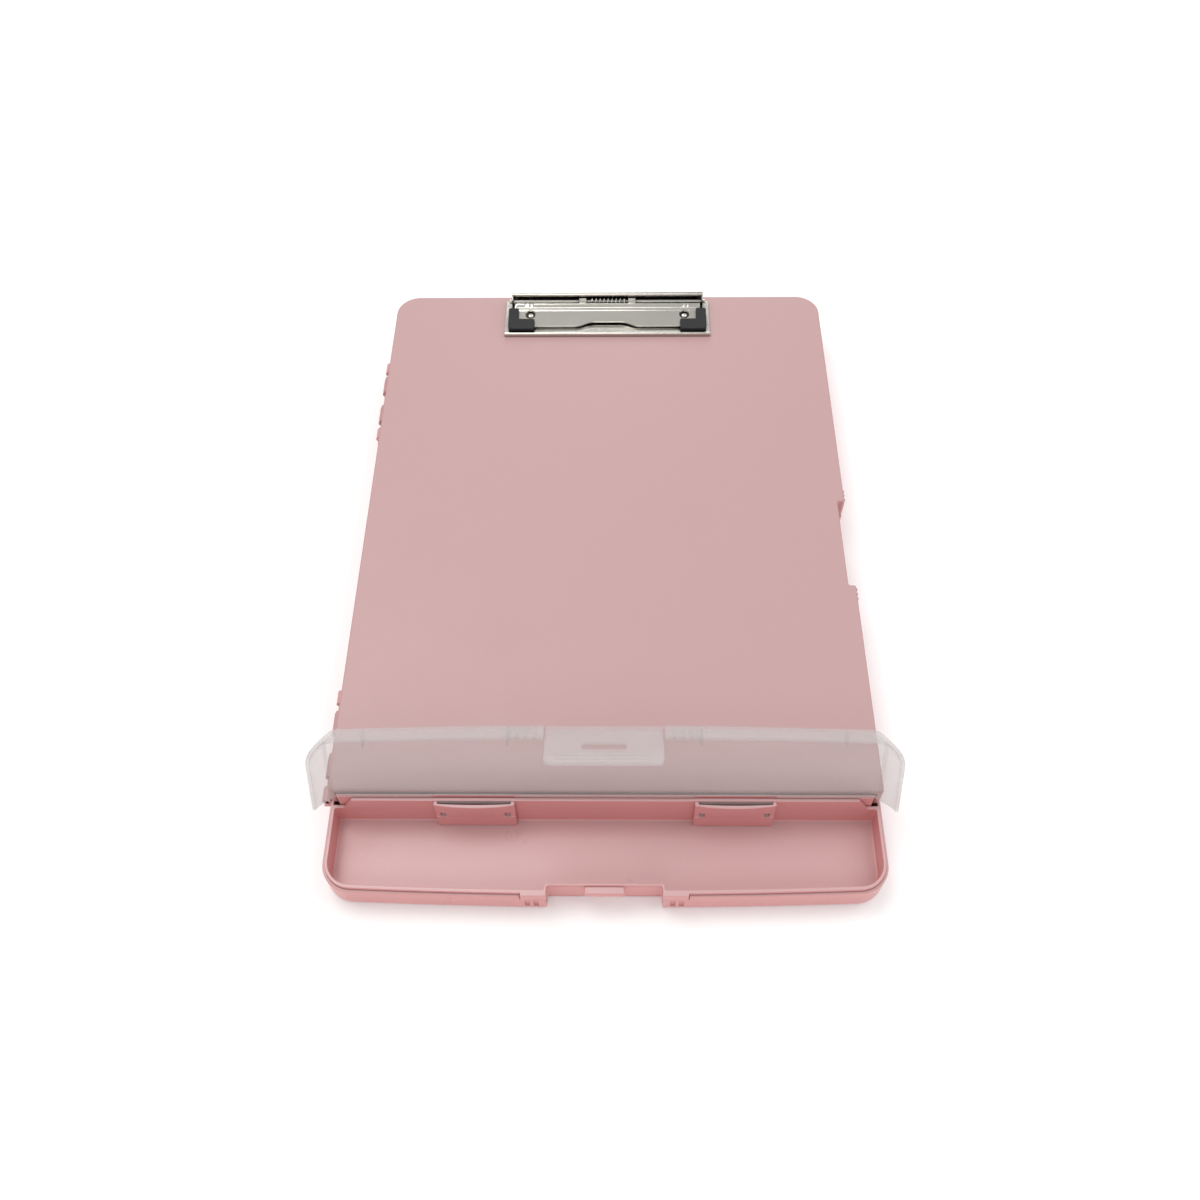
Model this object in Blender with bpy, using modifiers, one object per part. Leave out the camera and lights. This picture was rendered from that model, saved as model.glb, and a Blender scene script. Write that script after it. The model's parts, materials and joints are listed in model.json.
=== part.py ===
"""Storage clipboard: a hinged A4 case with a writing board, a spring clip and a lidded pen tray.

Units are metres, +Z is up, +X is to the right of a person writing on the board and +Y points to the clip.
The origin is the middle of the underside. Every piece of the real object is one object here.
The pen lid is modelled shut about its own pivot, then turned to its open stop, where it rests.
"""

import math

import bmesh
import bpy
from mathutils import Matrix, Vector

# Driving dimensions of the case.
CASE_WIDTH = 0.237
CASE_LENGTH = 0.3455
CASE_HEIGHT = 0.027
CORNER_RADIUS = 0.013
FRONT_BOW = 0.0026
BOARD_THICKNESS = 0.002
WALL = 0.0014
FLOOR = 0.002
GAP = 0.0003

# Lower shell.
PARTING_HEIGHT = 0.0145
LIP = 0.0006
BOTTOM_ROUND = 0.0025

# Pen tray, which hangs from the board into the front of the lower shell.
TRAY_DEPTH = 0.03805
TRAY_WALL = 0.0013
TRAY_BACK_WALL = 0.0015
TRAY_FLOOR = 0.0018
TRAY_FLOAT = 0.0006
TRAY_RIM = 0.0165
TRAY_FLANGE = 0.0017
TRAY_ROUND = 0.0028
BACK_WALL_TOP = 0.0244
END_NOTCH = 0.0036
END_NOTCH_SLOPE = 0.0045

# Thumb recess in the middle of the front edge, its latch tongue and the blocks beside it.
RECESS_WIDTH = 0.0484
RECESS_DEPTH = 0.0041
RECESS_CLEARANCE = 0.006
BLOCK_WIDTH = 0.0108
BLOCK_HEIGHT = 0.005
BLOCK_DEPTH = 0.0024
TONGUE_WIDTH = 0.0167
TONGUE_REACH = 0.0006
TONGUE_BOTTOM = 0.0119
TONGUE_HEIGHT = 0.0032
GRIP_SLOT_WIDTH = 0.0021
GRIP_SLOT_PITCH = 0.0037
GRIP_SLOT_FROM_RECESS = 0.0044
GRIP_SLOT_DEPTH = 0.0009
GRIP_SLOT_LOW = 0.0035
GRIP_SLOT_HIGH = 0.0103

# Finger notch in the right-hand side, through both shells.
NOTCH_CENTRE = 0.0
NOTCH_LENGTH = 0.0499
NOTCH_DEPTH = 0.0035

# Case hinge along the left-hand side.
HINGE_KNUCKLE_RADIUS = 0.0021
HINGE_PIN_RADIUS = 0.0009
HINGE_GROUP_FROM_END = 0.06925
HINGE_END_KNUCKLE = 0.0067
HINGE_COVER_KNUCKLE = 0.011
HINGE_NARROW_SPACE = 0.0044
HINGE_MIDDLE_SPACE = 0.010
HINGE_WEB = 0.0025
HINGE_LEDGE = 0.0018

# Pen lid, its pivot line and the straps and brackets that hold it.
LID_OPEN_ANGLE = math.radians(117)
LID_THICKNESS = 0.0014
LID_BELOW_BOARD = 0.0003
LID_PIVOT_DEPTH = 0.0016
LID_PIVOT_BEHIND_WALL = 0.0008
LID_FOLD_INSET = 0.0019
LID_FLARE = 0.0057
LID_FRONT_DRAFT = 0.0003
LID_CORNER = 0.008
LID_REAR_GAP = 0.0005
LID_RIM_GAP = 0.00055
LID_REST_GAP = 0.0004
# Section of the lid's wall from the fold to the rim: (share of the depth, share of the flare).
LID_SECTION = ((0.0, 0.0), (0.16, 0.22), (0.5, 0.66), (1.0, 1.0))
TAB_LENGTH = 0.0245
TAB_THICKNESS = 0.0013
TAB_SETBACK = 0.0019
TAB_CORNER = 0.003
STRAP_OFFSET = 0.0556
STRAP_WIDTH = 0.0309
STRAP_THICKNESS = 0.0009
STRAP_LENGTH = 0.014
HOOK_SPACING = 0.0278
HOOK_WIDTH = 0.0017
HOOK_HEIGHT = 0.0026
HOOK_REACH = 0.001
BRACKET_CHEEK = 0.0015
BRACKET_PLATE = 0.0014
BRACKET_TOP = 0.0246
WINDOW_WIDTH = 0.0024
WINDOW_HEIGHT = 0.0034
WINDOW_HEIGHT_CENTRE = 0.0158

# Clip: base plate, jaw, hinge rod, spring, corner guards and rivets.
CLIP_SIDE_MARGIN = 0.0053
CLIP_FRONT_FROM_REAR = 0.03255
CLIP_DEPTH = 0.0268
CLIP_SHEET = 0.001
CLIP_LIP_HEIGHT = 0.0022
CLIP_LIP_DEPTH = 0.0016
CLIP_BACK_HEIGHT = 0.0078
CLIP_ROLL_RADIUS = 0.0016
CHEEK_DEPTH = 0.0068
CHEEK_GAP = 0.001
CHEEK_THICKNESS = 0.0008
ROD_RADIUS = 0.0011
ROD_END = 0.0012
ROD_FROM_BACK = 0.0045
ROD_HEIGHT = 0.0048
JAW_WIDTH = 0.103
JAW_FRONT_GAP = 0.0055
JAW_FRONT_HEIGHT = 0.0015
JAW_BEND_FROM_ROD = 0.0055
JAW_BEND_HEIGHT = 0.0036
JAW_REAR_FROM_ROD = 0.003
JAW_REAR_HEIGHT = 0.0062
HUMP_HEIGHT = 0.0024
HUMP_BASE = 0.036
HUMP_TOP = 0.015
LUG_OFFSET = 0.0137
LUG_WIDTH = 0.004
LUG_WALL = 0.0008
LUG_WEB_HEIGHT = 0.0017
SPRING_WIRE = 0.0004
SPRING_TURNS = 8
SPRING_POINTS_PER_TURN = 10
SPRING_LENGTH = 0.019
GUARD_FRONT_LEG = 0.0144
GUARD_SIDE_WIDTH = 0.005
GUARD_FRONT_DEPTH = 0.007
GUARD_OVERHANG = 0.0033
GUARD_FRONT_OVERHANG = 0.0032
GUARD_RISE = 0.0018
GUARD_CORNER = 0.002
RIVET_FROM_JAW_END = 0.0087
RIVET_FROM_FRONT = 0.0146
RIVET_HEAD_RADIUS = 0.0022
RIVET_SHANK_RADIUS = 0.0014
RIVET_HEAD_HEIGHT = 0.0015
RIVET_VIEW_RADIUS = 0.0035
RIVET_TAIL_RADIUS = 0.0018
RIVET_TAIL_HEIGHT = 0.00075
WASHER_RADIUS = 0.004
WASHER_THICKNESS = 0.0008

CORNER_STEPS = 6
BOW_STEPS = 8
OVERCUT = 0.001
STEP = 0.0005

# Exact quarter turns: a flat outline stands up facing along Y, or lies along X.
FACING_Y = Matrix(((1, 0, 0, 0), (0, 0, -1, 0), (0, 1, 0, 0), (0, 0, 0, 1)))
ALONG_X = Matrix(((0, 0, 1, 0), (1, 0, 0, 0), (0, 1, 0, 0), (0, 0, 0, 1)))

HALF_WIDTH = CASE_WIDTH / 2
SHELL_HALF_WIDTH = HALF_WIDTH + LIP
FRONT = -CASE_LENGTH / 2
REAR = CASE_LENGTH / 2
COVER_FRONT = FRONT + LIP
COVER_BOTTOM = PARTING_HEIGHT + GAP
BOARD_UNDERSIDE = CASE_HEIGHT - BOARD_THICKNESS
TRAY_BOTTOM = FLOOR + TRAY_FLOAT
TRAY_BACK_FACE = COVER_FRONT + TRAY_DEPTH
RECESS_FACE = COVER_FRONT + RECESS_DEPTH
PIVOT_Y = TRAY_BACK_FACE + LID_PIVOT_BEHIND_WALL
STRAP_Y = TRAY_BACK_FACE - GAP - STRAP_THICKNESS / 2
PIVOT_Z = CASE_HEIGHT - LID_PIVOT_DEPTH
LID_TOP = LID_PIVOT_DEPTH - LID_BELOW_BOARD
LID_RIM = TRAY_RIM + LID_RIM_GAP - PIVOT_Z
HINGE_X = -HALF_WIDTH - HINGE_KNUCKLE_RADIUS - GAP
HINGE_Z = PARTING_HEIGHT + GAP / 2
HINGE_GROUP_OFFSET = REAR - HINGE_GROUP_FROM_END
HINGE_LEDGE_TOP = HINGE_Z - math.hypot(HINGE_KNUCKLE_RADIUS / 2, HINGE_WEB + 1.5 * GAP) - GAP
CLIP_WIDTH = JAW_WIDTH + 2 * CLIP_SIDE_MARGIN
CLIP_FRONT = REAR - CLIP_FRONT_FROM_REAR
BASE_PLATE_TOP = CASE_HEIGHT + GAP + CLIP_SHEET
CLIP_BACK = CLIP_FRONT + CLIP_DEPTH
ROD_Y = CLIP_BACK - ROD_FROM_BACK
ROD_Z = CASE_HEIGHT + GAP + ROD_HEIGHT
JAW_FRONT = CLIP_FRONT + JAW_FRONT_GAP
RIVET_Y = CLIP_FRONT + RIVET_FROM_FRONT
RIVET_OFFSET = JAW_WIDTH / 2 - RIVET_FROM_JAW_END


def clear_scene():
    for obj in list(bpy.data.objects):
        bpy.data.objects.remove(obj, do_unlink=True)
    for name in ("storage_clipboard", "cutters"):
        collection = bpy.data.collections.new(name)
        bpy.context.scene.collection.children.link(collection)


def material(name, colour, roughness, metallic=0.0, alpha=1.0):
    made = bpy.data.materials.new(name)
    made.use_nodes = True
    shader = made.node_tree.nodes["Principled BSDF"]
    shader.inputs["Base Color"].default_value = (*colour, 1.0)
    shader.inputs["Roughness"].default_value = roughness
    shader.inputs["Metallic"].default_value = metallic
    shader.inputs["Alpha"].default_value = alpha
    return made


def add_object(name, mesh, collection="storage_clipboard"):
    obj = bpy.data.objects.new(name, mesh)
    bpy.data.collections[collection].objects.link(obj)
    if collection == "cutters":
        obj.hide_render = True
        obj.display_type = "WIRE"
    return obj


def arc(centre, radii, start, end, steps=CORNER_STEPS):
    """Points of an elliptical arc in the XY plane, from one angle to another, both in degrees."""
    angles = [math.radians(start + (end - start) * i / steps) for i in range(steps + 1)]
    return [(centre[0] + radii[0] * math.cos(a), centre[1] + radii[1] * math.sin(a)) for a in angles]


def front_line(half, front, bow, recess, inner):
    """The bowed front edge from -inner to +inner, stepping back to the recess where there is one."""
    def edge(x):
        return (x, front + bow * (x / half) ** 2)

    xs = [inner * (2 * i / BOW_STEPS - 1) for i in range(BOW_STEPS + 1)]
    if not recess:
        return [edge(x) for x in xs]
    side, face = recess
    left = [edge(x) for x in xs if x < -side - RECESS_CLEARANCE] + [edge(-side), (-side, face)]
    return left + [(-x, y) for x, y in reversed(left)]


def case_outline(half, front, rear, radius, bow=0.0, recess=None, notch=None, rear_radius=None):
    """Anticlockwise outline of the case seen from above.

    recess is (half width, y of its back face); notch is (low y, high y, x of its inner face).
    """
    rear_radius = radius if rear_radius is None else rear_radius
    inner = half - radius
    corner_y = front + bow * (inner / half) ** 2 + radius
    points = arc((-inner, corner_y), (radius, radius), 180, 270)[:-1]
    points += front_line(half, front, bow, recess, inner)
    points += arc((inner, corner_y), (radius, radius), 270, 360)[1:]
    if notch:
        points += [(half, notch[0]), (notch[2], notch[0]), (notch[2], notch[1]), (half, notch[1])]
    if rear_radius:
        points += arc((half - rear_radius, rear - rear_radius), (rear_radius, rear_radius), 0, 90)
        points += arc((rear_radius - half, rear - rear_radius), (rear_radius, rear_radius), 90, 180)
    else:
        points += [(half, rear), (-half, rear)]
    return points


def prism_mesh(name, points, low, high):
    """Closed mesh of a flat outline between two heights, from a filled and extruded 2D curve."""
    curve = bpy.data.curves.new(name, "CURVE")
    curve.dimensions = "2D"
    curve.fill_mode = "BOTH"
    curve.extrude = (high - low) / 2
    spline = curve.splines.new("POLY")
    spline.points.add(len(points) - 1)
    for point, (x, y) in zip(spline.points, points):
        point.co = (x, y, 0, 1)
    spline.use_cyclic_u = True
    mesh = curve_to_mesh(name, curve)
    mesh.transform(Matrix.Translation((0, 0, (high + low) / 2)))
    return mesh


def curve_to_mesh(name, curve):
    """Mesh of a curve with its caps welded on and its flat faces made whole."""
    guide = bpy.data.objects.new(name + "_guide", curve)
    bpy.context.scene.collection.objects.link(guide)
    graph = bpy.context.evaluated_depsgraph_get()
    mesh = bpy.data.meshes.new_from_object(guide.evaluated_get(graph))
    mesh.name = name
    bpy.data.objects.remove(guide, do_unlink=True)
    work = bmesh.new()
    work.from_mesh(mesh)
    bmesh.ops.remove_doubles(work, verts=work.verts, dist=0.000001)
    bmesh.ops.dissolve_limit(work, angle_limit=0.001, verts=work.verts, edges=work.edges)
    bmesh.ops.recalc_face_normals(work, faces=work.faces)
    work.to_mesh(mesh)
    work.free()
    return mesh


def round_level_edges(mesh, height, radius, segments=3):
    """Rounds the outer edges that lie at one height."""
    work = bmesh.new()
    work.from_mesh(mesh)
    near = 0.00001
    edges = [e for e in work.edges if all(abs(v.co.z - height) < near for v in e.verts)]
    edges = [e for e in edges if abs(e.calc_face_angle(0)) > 0.5]
    bmesh.ops.bevel(work, geom=edges, offset=radius, segments=segments, profile=0.5, affect="EDGES")
    work.to_mesh(mesh)
    work.free()


def prism(name, points, low, high, collection="storage_clipboard"):
    return add_object(name, prism_mesh(name, points, low, high), collection)


def box(name, low, high, collection="cutters", bevel=0.0):
    """Box between two corners, from a cube primitive, with rounded edges where asked."""
    mesh = bpy.data.meshes.new(name)
    work = bmesh.new()
    bmesh.ops.create_cube(work, size=1.0)
    size = Vector(high) - Vector(low)
    bmesh.ops.scale(work, vec=size, verts=work.verts)
    bmesh.ops.translate(work, vec=(Vector(high) + Vector(low)) / 2, verts=work.verts)
    if bevel:
        bmesh.ops.bevel(work, geom=work.edges, offset=bevel, segments=2, profile=0.5, affect="EDGES")
    work.to_mesh(mesh)
    work.free()
    return add_object(name, mesh, collection)


def cylinder(name, start, end, radius, segments=24, collection="cutters"):
    """Cylinder between two points, from a cone primitive."""
    axis = Vector(end) - Vector(start)
    mesh = bpy.data.meshes.new(name)
    work = bmesh.new()
    bmesh.ops.create_cone(
        work, cap_ends=True, segments=segments, radius1=radius, radius2=radius, depth=axis.length
    )
    turn = axis.to_track_quat("Z", "Y").to_matrix().to_4x4()
    middle = (Vector(start) + Vector(end)) / 2
    bmesh.ops.transform(work, matrix=Matrix.Translation(middle) @ turn, verts=work.verts)
    work.to_mesh(mesh)
    work.free()
    return add_object(name, mesh, collection)


def boolean(obj, other, operation):
    modifier = obj.modifiers.new(operation.lower() + "_" + other.name, "BOOLEAN")
    modifier.operation = operation
    modifier.solver = "EXACT"
    modifier.object = other


def cut(obj, *cutters):
    for cutter in cutters:
        boolean(obj, cutter, "DIFFERENCE")


def join(obj, *additions):
    for addition in additions:
        boolean(obj, addition, "UNION")


def smooth(obj, angle=35):
    obj.data.shade_smooth()
    obj.data.set_sharp_from_angle(angle=math.radians(angle))


def hinge_groups():
    """(name, centre y) of the two groups of hinge knuckles."""
    return (("lower", -HINGE_GROUP_OFFSET), ("upper", HINGE_GROUP_OFFSET))


def knuckle_spans(centre):
    """(shell spans, cover spans) along Y for one group of knuckles."""
    start = HINGE_MIDDLE_SPACE / 2
    cover = [(start, start + HINGE_COVER_KNUCKLE)]
    shell_start = start + HINGE_COVER_KNUCKLE + HINGE_NARROW_SPACE
    shell = [(shell_start, shell_start + HINGE_END_KNUCKLE)]
    both = []
    for spans in (shell, cover):
        mirrored = [(-high, -low) for low, high in spans]
        both.append([(centre + low, centre + high) for low, high in spans + mirrored])
    return both


def add_knuckles(obj, spans, web_low, web_high, web_reach):
    """Joins knuckles to a wall: each is a barrel about the hinge line and a web into the wall."""
    for index, (low, high) in enumerate(spans):
        name = f"{obj.name}_knuckle_{index}"
        barrel = cylinder(name, (HINGE_X, low, HINGE_Z), (HINGE_X, high, HINGE_Z), HINGE_KNUCKLE_RADIUS)
        web = box(
            name + "_web",
            (HINGE_X - HINGE_KNUCKLE_RADIUS / 2, low, web_low),
            (web_reach, high, web_high),
        )
        join(obj, barrel, web)


def hinge_bore(name):
    length = REAR - CORNER_RADIUS
    radius = HINGE_PIN_RADIUS + GAP
    return cylinder(name, (HINGE_X, -length, HINGE_Z), (HINGE_X, length, HINGE_Z), radius, 16)


def build_storage_base(pink):
    """Lower shell: an open box with the thumb recess, finger notch and its share of the case hinge."""
    low = NOTCH_CENTRE - NOTCH_LENGTH / 2
    high = NOTCH_CENTRE + NOTCH_LENGTH / 2
    outer = case_outline(
        SHELL_HALF_WIDTH, FRONT, REAR, CORNER_RADIUS, FRONT_BOW,
        notch=(low, high, SHELL_HALF_WIDTH - NOTCH_DEPTH),
    )
    inner_half = SHELL_HALF_WIDTH - WALL
    inner = case_outline(
        inner_half, FRONT + WALL, REAR - WALL, CORNER_RADIUS - WALL, FRONT_BOW,
        notch=(low - WALL, high + WALL, inner_half - NOTCH_DEPTH),
    )
    mesh = prism_mesh("storage_base", outer, 0, PARTING_HEIGHT)
    round_level_edges(mesh, 0, BOTTOM_ROUND)
    base = add_object("storage_base", mesh)
    cavity = prism("base_cavity", inner, FLOOR, CASE_HEIGHT, "cutters")
    half = RECESS_WIDTH / 2
    recess = box(
        "base_recess",
        (-half - GAP, FRONT - OVERCUT, -OVERCUT),
        (half + GAP, RECESS_FACE + OVERCUT, CASE_HEIGHT),
    )
    cut(base, cavity, recess)
    block = half + BLOCK_WIDTH + GAP
    seat = box(
        "base_block_seat",
        (-block, FRONT - OVERCUT, TRAY_RIM - BLOCK_HEIGHT - GAP),
        (block, FRONT + BLOCK_DEPTH, CASE_HEIGHT),
    )
    cut(base, seat)
    for side in (-1, 1):
        for step in (0, 1):
            x = side * (half + GRIP_SLOT_FROM_RECESS + GRIP_SLOT_PITCH * step)
            slot = box(
                f"grip_slot_{side}_{step}",
                (x - GRIP_SLOT_WIDTH / 2, FRONT - OVERCUT, GRIP_SLOT_LOW),
                (x + GRIP_SLOT_WIDTH / 2, FRONT + GRIP_SLOT_DEPTH, GRIP_SLOT_HIGH),
            )
            cut(base, slot)
    spans = [span for _, centre in hinge_groups() for span in knuckle_spans(centre)[0]]
    web_top = PARTING_HEIGHT - GAP
    wall_middle = WALL / 2 - SHELL_HALF_WIDTH
    add_knuckles(base, spans, HINGE_LEDGE_TOP - HINGE_LEDGE / 2, web_top, wall_middle)
    reach = HINGE_MIDDLE_SPACE / 2 + HINGE_COVER_KNUCKLE + HINGE_NARROW_SPACE + HINGE_END_KNUCKLE
    for word, centre in hinge_groups():
        ledge = box(
            f"hinge_ledge_{word}",
            (HINGE_X - HINGE_KNUCKLE_RADIUS, centre - reach, HINGE_LEDGE_TOP - HINGE_LEDGE),
            (wall_middle, centre + reach, HINGE_LEDGE_TOP),
        )
        join(base, ledge)
    cut(base, hinge_bore("base_hinge_bore"))
    cover_spans = [span for _, centre in hinge_groups() for span in knuckle_spans(centre)[1]]
    for index, (start, end) in enumerate(cover_spans):
        relief = cylinder(
            f"base_knuckle_relief_{index}", (HINGE_X, start - GAP, HINGE_Z), (HINGE_X, end + GAP, HINGE_Z),
            HINGE_KNUCKLE_RADIUS + GAP,
        )
        cut(base, relief)
    base.data.materials.append(pink)
    smooth(base)
    return base


def board_front(height):
    """Y of the board's front edge at a height, which leans as the open lid does."""
    lean = math.tan(LID_OPEN_ANGLE - math.pi / 2)
    turned_y = PIVOT_Y + LID_TOP * math.sin(LID_OPEN_ANGLE)
    turned_z = PIVOT_Z + LID_TOP * math.cos(LID_OPEN_ANGLE)
    return turned_y + (height - turned_z) * lean + LID_REST_GAP / math.sin(LID_OPEN_ANGLE)


def build_writing_board(pink):
    """Upper shell: the board, its skirt, the finger notch and its share of the case hinge."""
    low = NOTCH_CENTRE - NOTCH_LENGTH / 2
    high = NOTCH_CENTRE + NOTCH_LENGTH / 2
    edge = board_front(CASE_HEIGHT)
    outer = case_outline(
        HALF_WIDTH, edge, REAR - LIP, GAP,
        notch=(low, high, HALF_WIDTH - NOTCH_DEPTH), rear_radius=CORNER_RADIUS - LIP,
    )
    inner_half = HALF_WIDTH - WALL
    inner = case_outline(
        inner_half, edge - WALL * 2, REAR - LIP - WALL, GAP,
        notch=(low - WALL, high + WALL, inner_half - NOTCH_DEPTH),
        rear_radius=CORNER_RADIUS - LIP - WALL,
    )
    board = prism("writing_board", outer, COVER_BOTTOM, CASE_HEIGHT)
    cavity = prism("board_cavity", inner, 0, BOARD_UNDERSIDE, "cutters")
    cut(board, cavity)
    spans = [span for _, centre in hinge_groups() for span in knuckle_spans(centre)[1]]
    web_low = COVER_BOTTOM + GAP
    add_knuckles(board, spans, web_low, web_low + HINGE_WEB, WALL / 2 - HALF_WIDTH)
    cut(board, hinge_bore("board_hinge_bore"))
    for side in (-1, 1):
        x = side * RIVET_OFFSET
        hole = cylinder(
            f"board_rivet_hole_{side}",
            (x, RIVET_Y, BOARD_UNDERSIDE - OVERCUT), (x, RIVET_Y, CASE_HEIGHT + OVERCUT),
            RIVET_SHANK_RADIUS + GAP, 20,
        )
        cut(board, hole)
    board.data.materials.append(pink)
    smooth(board)
    return board


def build_pen_tray(pink):
    """Tray with a flanged rim, a tall back wall, the latch tongue and the blocks beside the recess."""
    body_half = SHELL_HALF_WIDTH - WALL - GAP
    body_front = FRONT + WALL + GAP
    half = RECESS_WIDTH / 2
    rear = TRAY_BACK_FACE + TRAY_BACK_WALL
    radius = CORNER_RADIUS - WALL - GAP
    outer = case_outline(
        body_half, body_front, rear, radius, FRONT_BOW, recess=(half, RECESS_FACE), rear_radius=0
    )
    mesh = prism_mesh("pen_tray", outer, TRAY_BOTTOM, BACK_WALL_TOP)
    round_level_edges(mesh, TRAY_BOTTOM, TRAY_ROUND)
    tray = add_object("pen_tray", mesh)
    trim = box(
        "tray_trim",
        (-HALF_WIDTH, FRONT - OVERCUT, TRAY_RIM), (HALF_WIDTH, TRAY_BACK_FACE - STEP, CASE_HEIGHT),
    )
    cut(tray, trim)
    flange = prism(
        "tray_flange",
        case_outline(
            HALF_WIDTH - GAP, COVER_FRONT, rear, CORNER_RADIUS - LIP, FRONT_BOW,
            recess=(half, RECESS_FACE), rear_radius=0,
        ),
        TRAY_RIM - TRAY_FLANGE, TRAY_RIM, "cutters",
    )
    blocks = []
    for side in (-1, 1):
        ends = sorted((side * half, side * (half + BLOCK_WIDTH)))
        blocks.append(
            box(
                f"tray_block_{side}",
                (ends[0], FRONT, TRAY_RIM - BLOCK_HEIGHT), (ends[1], FRONT + BLOCK_DEPTH, TRAY_RIM),
            )
        )
    tongue = box(
        "latch_tongue",
        (-TONGUE_WIDTH / 2, RECESS_FACE - TONGUE_REACH, TONGUE_BOTTOM),
        (TONGUE_WIDTH / 2, RECESS_FACE + TRAY_WALL / 2, TONGUE_BOTTOM + TONGUE_HEIGHT),
    )
    join(tray, flange, *blocks, tongue)
    cavity_half = body_half - TRAY_WALL
    cavity_mesh = prism_mesh(
        "tray_cavity",
        case_outline(
            cavity_half, body_front + TRAY_WALL, TRAY_BACK_FACE, radius - TRAY_WALL, FRONT_BOW,
            recess=(half + TRAY_WALL, RECESS_FACE + TRAY_WALL), rear_radius=TRAY_WALL,
        ),
        TRAY_BOTTOM + TRAY_FLOOR, CASE_HEIGHT,
    )
    round_level_edges(cavity_mesh, TRAY_BOTTOM + TRAY_FLOOR, TRAY_ROUND / 2, 2)
    cut(tray, add_object("tray_cavity", cavity_mesh, "cutters"))
    for side in (-1, 1):
        near = side * (cavity_half - END_NOTCH)
        far = side * (HALF_WIDTH + OVERCUT)
        slope = near - side * END_NOTCH_SLOPE
        notch_mesh = prism_mesh(
            f"end_notch_{side}",
            [(far, TRAY_RIM), (near, TRAY_RIM), (slope, BACK_WALL_TOP), (slope, CASE_HEIGHT),
             (far, CASE_HEIGHT)],
            -rear - OVERCUT, OVERCUT - TRAY_BACK_FACE,
        )
        notch_mesh.transform(FACING_Y)
        cut(tray, add_object(f"end_notch_{side}", notch_mesh, "cutters"))
    tray.data.materials.append(pink)
    smooth(tray)
    return tray


def build_hinge_bracket(name, x, pink):
    """U-shaped bracket on the tray's back wall, with two windows for the strap's hooks."""
    half = STRAP_WIDTH / 2 + GAP + BRACKET_CHEEK
    plate_rear = STRAP_Y - STRAP_THICKNESS / 2 - GAP
    back = TRAY_BACK_FACE - GAP
    low = TRAY_BOTTOM + TRAY_FLOOR + GAP
    top_front = plate_rear - BRACKET_PLATE
    clear = TRAY_ROUND / 2
    profile = [
        (top_front, low), (back - clear, low), (back, low + clear),
        (back, BRACKET_TOP), (top_front, BRACKET_TOP),
    ]
    mesh = prism_mesh(name, profile, -half, half)
    mesh.transform(ALONG_X)
    bracket = add_object(name, mesh)
    bracket.location.x = x
    pocket_half = STRAP_WIDTH / 2 + GAP
    pocket = box(
        name + "_pocket", (x - pocket_half, plate_rear, low - OVERCUT),
        (x + pocket_half, back + OVERCUT, CASE_HEIGHT),
    )
    cut(bracket, pocket)
    for side in (-1, 1):
        centre = x + side * HOOK_SPACING / 2
        window = box(
            f"{name}_window_{side}",
            (centre - WINDOW_WIDTH / 2, top_front - OVERCUT, WINDOW_HEIGHT_CENTRE - WINDOW_HEIGHT / 2),
            (centre + WINDOW_WIDTH / 2, back + OVERCUT, WINDOW_HEIGHT_CENTRE + WINDOW_HEIGHT / 2),
        )
        cut(bracket, window)
    bracket.data.materials.append(pink)
    return bracket


def build_hinge_strap(name, x, clear):
    """Fixed half of the lid's flexing hinge, hooked into its bracket."""
    top = PIVOT_Z - STRAP_THICKNESS / 2
    half = STRAP_WIDTH / 2
    strap = box(
        name, (x - half, STRAP_Y - STRAP_THICKNESS / 2, top - STRAP_LENGTH),
        (x + half, STRAP_Y + STRAP_THICKNESS / 2, top), "storage_clipboard",
    )
    for side in (-1, 1):
        centre = x + side * HOOK_SPACING / 2
        hook = box(
            f"{name}_hook_{side}",
            (centre - HOOK_WIDTH / 2, STRAP_Y - STRAP_THICKNESS / 2 - HOOK_REACH,
             WINDOW_HEIGHT_CENTRE - HOOK_HEIGHT / 2),
            (centre + HOOK_WIDTH / 2, STRAP_Y, WINDOW_HEIGHT_CENTRE + HOOK_HEIGHT / 2),
        )
        join(strap, hook)
    strap.data.materials.append(clear)
    return strap


def lid_ring(half, front, corner_x, corner_y, height):
    """One level of the lid's edge, from its rear left end round the front to its rear right end."""
    inner = half - corner_x
    line = front_line(half, front, FRONT_BOW, None, inner)
    corner_centre = line[0][1] + corner_y
    left = arc((-inner, corner_centre), (corner_x, corner_y), 180, 270)[:-1]
    right = [(-x, y) for x, y in reversed(left)]
    rear = [(-half, -LID_REAR_GAP)]
    points = rear + left + line + right + [(half, -LID_REAR_GAP)]
    return [Vector((x, y, height)) for x, y in points]


def lid_surface():
    """Outer skin of the shut lid about its pivot: rings lofted from the fold down to the rim."""
    fold_half = HALF_WIDTH - LID_FOLD_INSET
    front = COVER_FRONT - PIVOT_Y
    depth = LID_TOP - LID_RIM
    work = bmesh.new()
    rings = []
    for drop, flare in LID_SECTION:
        side = LID_FLARE * flare
        forward = LID_FRONT_DRAFT * flare
        ring = lid_ring(
            fold_half + side, front + LID_FRONT_DRAFT - forward,
            LID_CORNER + side, LID_CORNER + forward, LID_TOP - depth * drop,
        )
        rings.append([work.verts.new(point) for point in ring])
    work.faces.new(rings[0])
    for upper, lower in zip(rings, rings[1:]):
        for index in range(len(upper) - 1):
            work.faces.new((upper[index], lower[index], lower[index + 1], upper[index + 1]))
    mesh = bpy.data.meshes.new("pen_lid")
    work.to_mesh(mesh)
    work.free()
    return mesh


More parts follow.
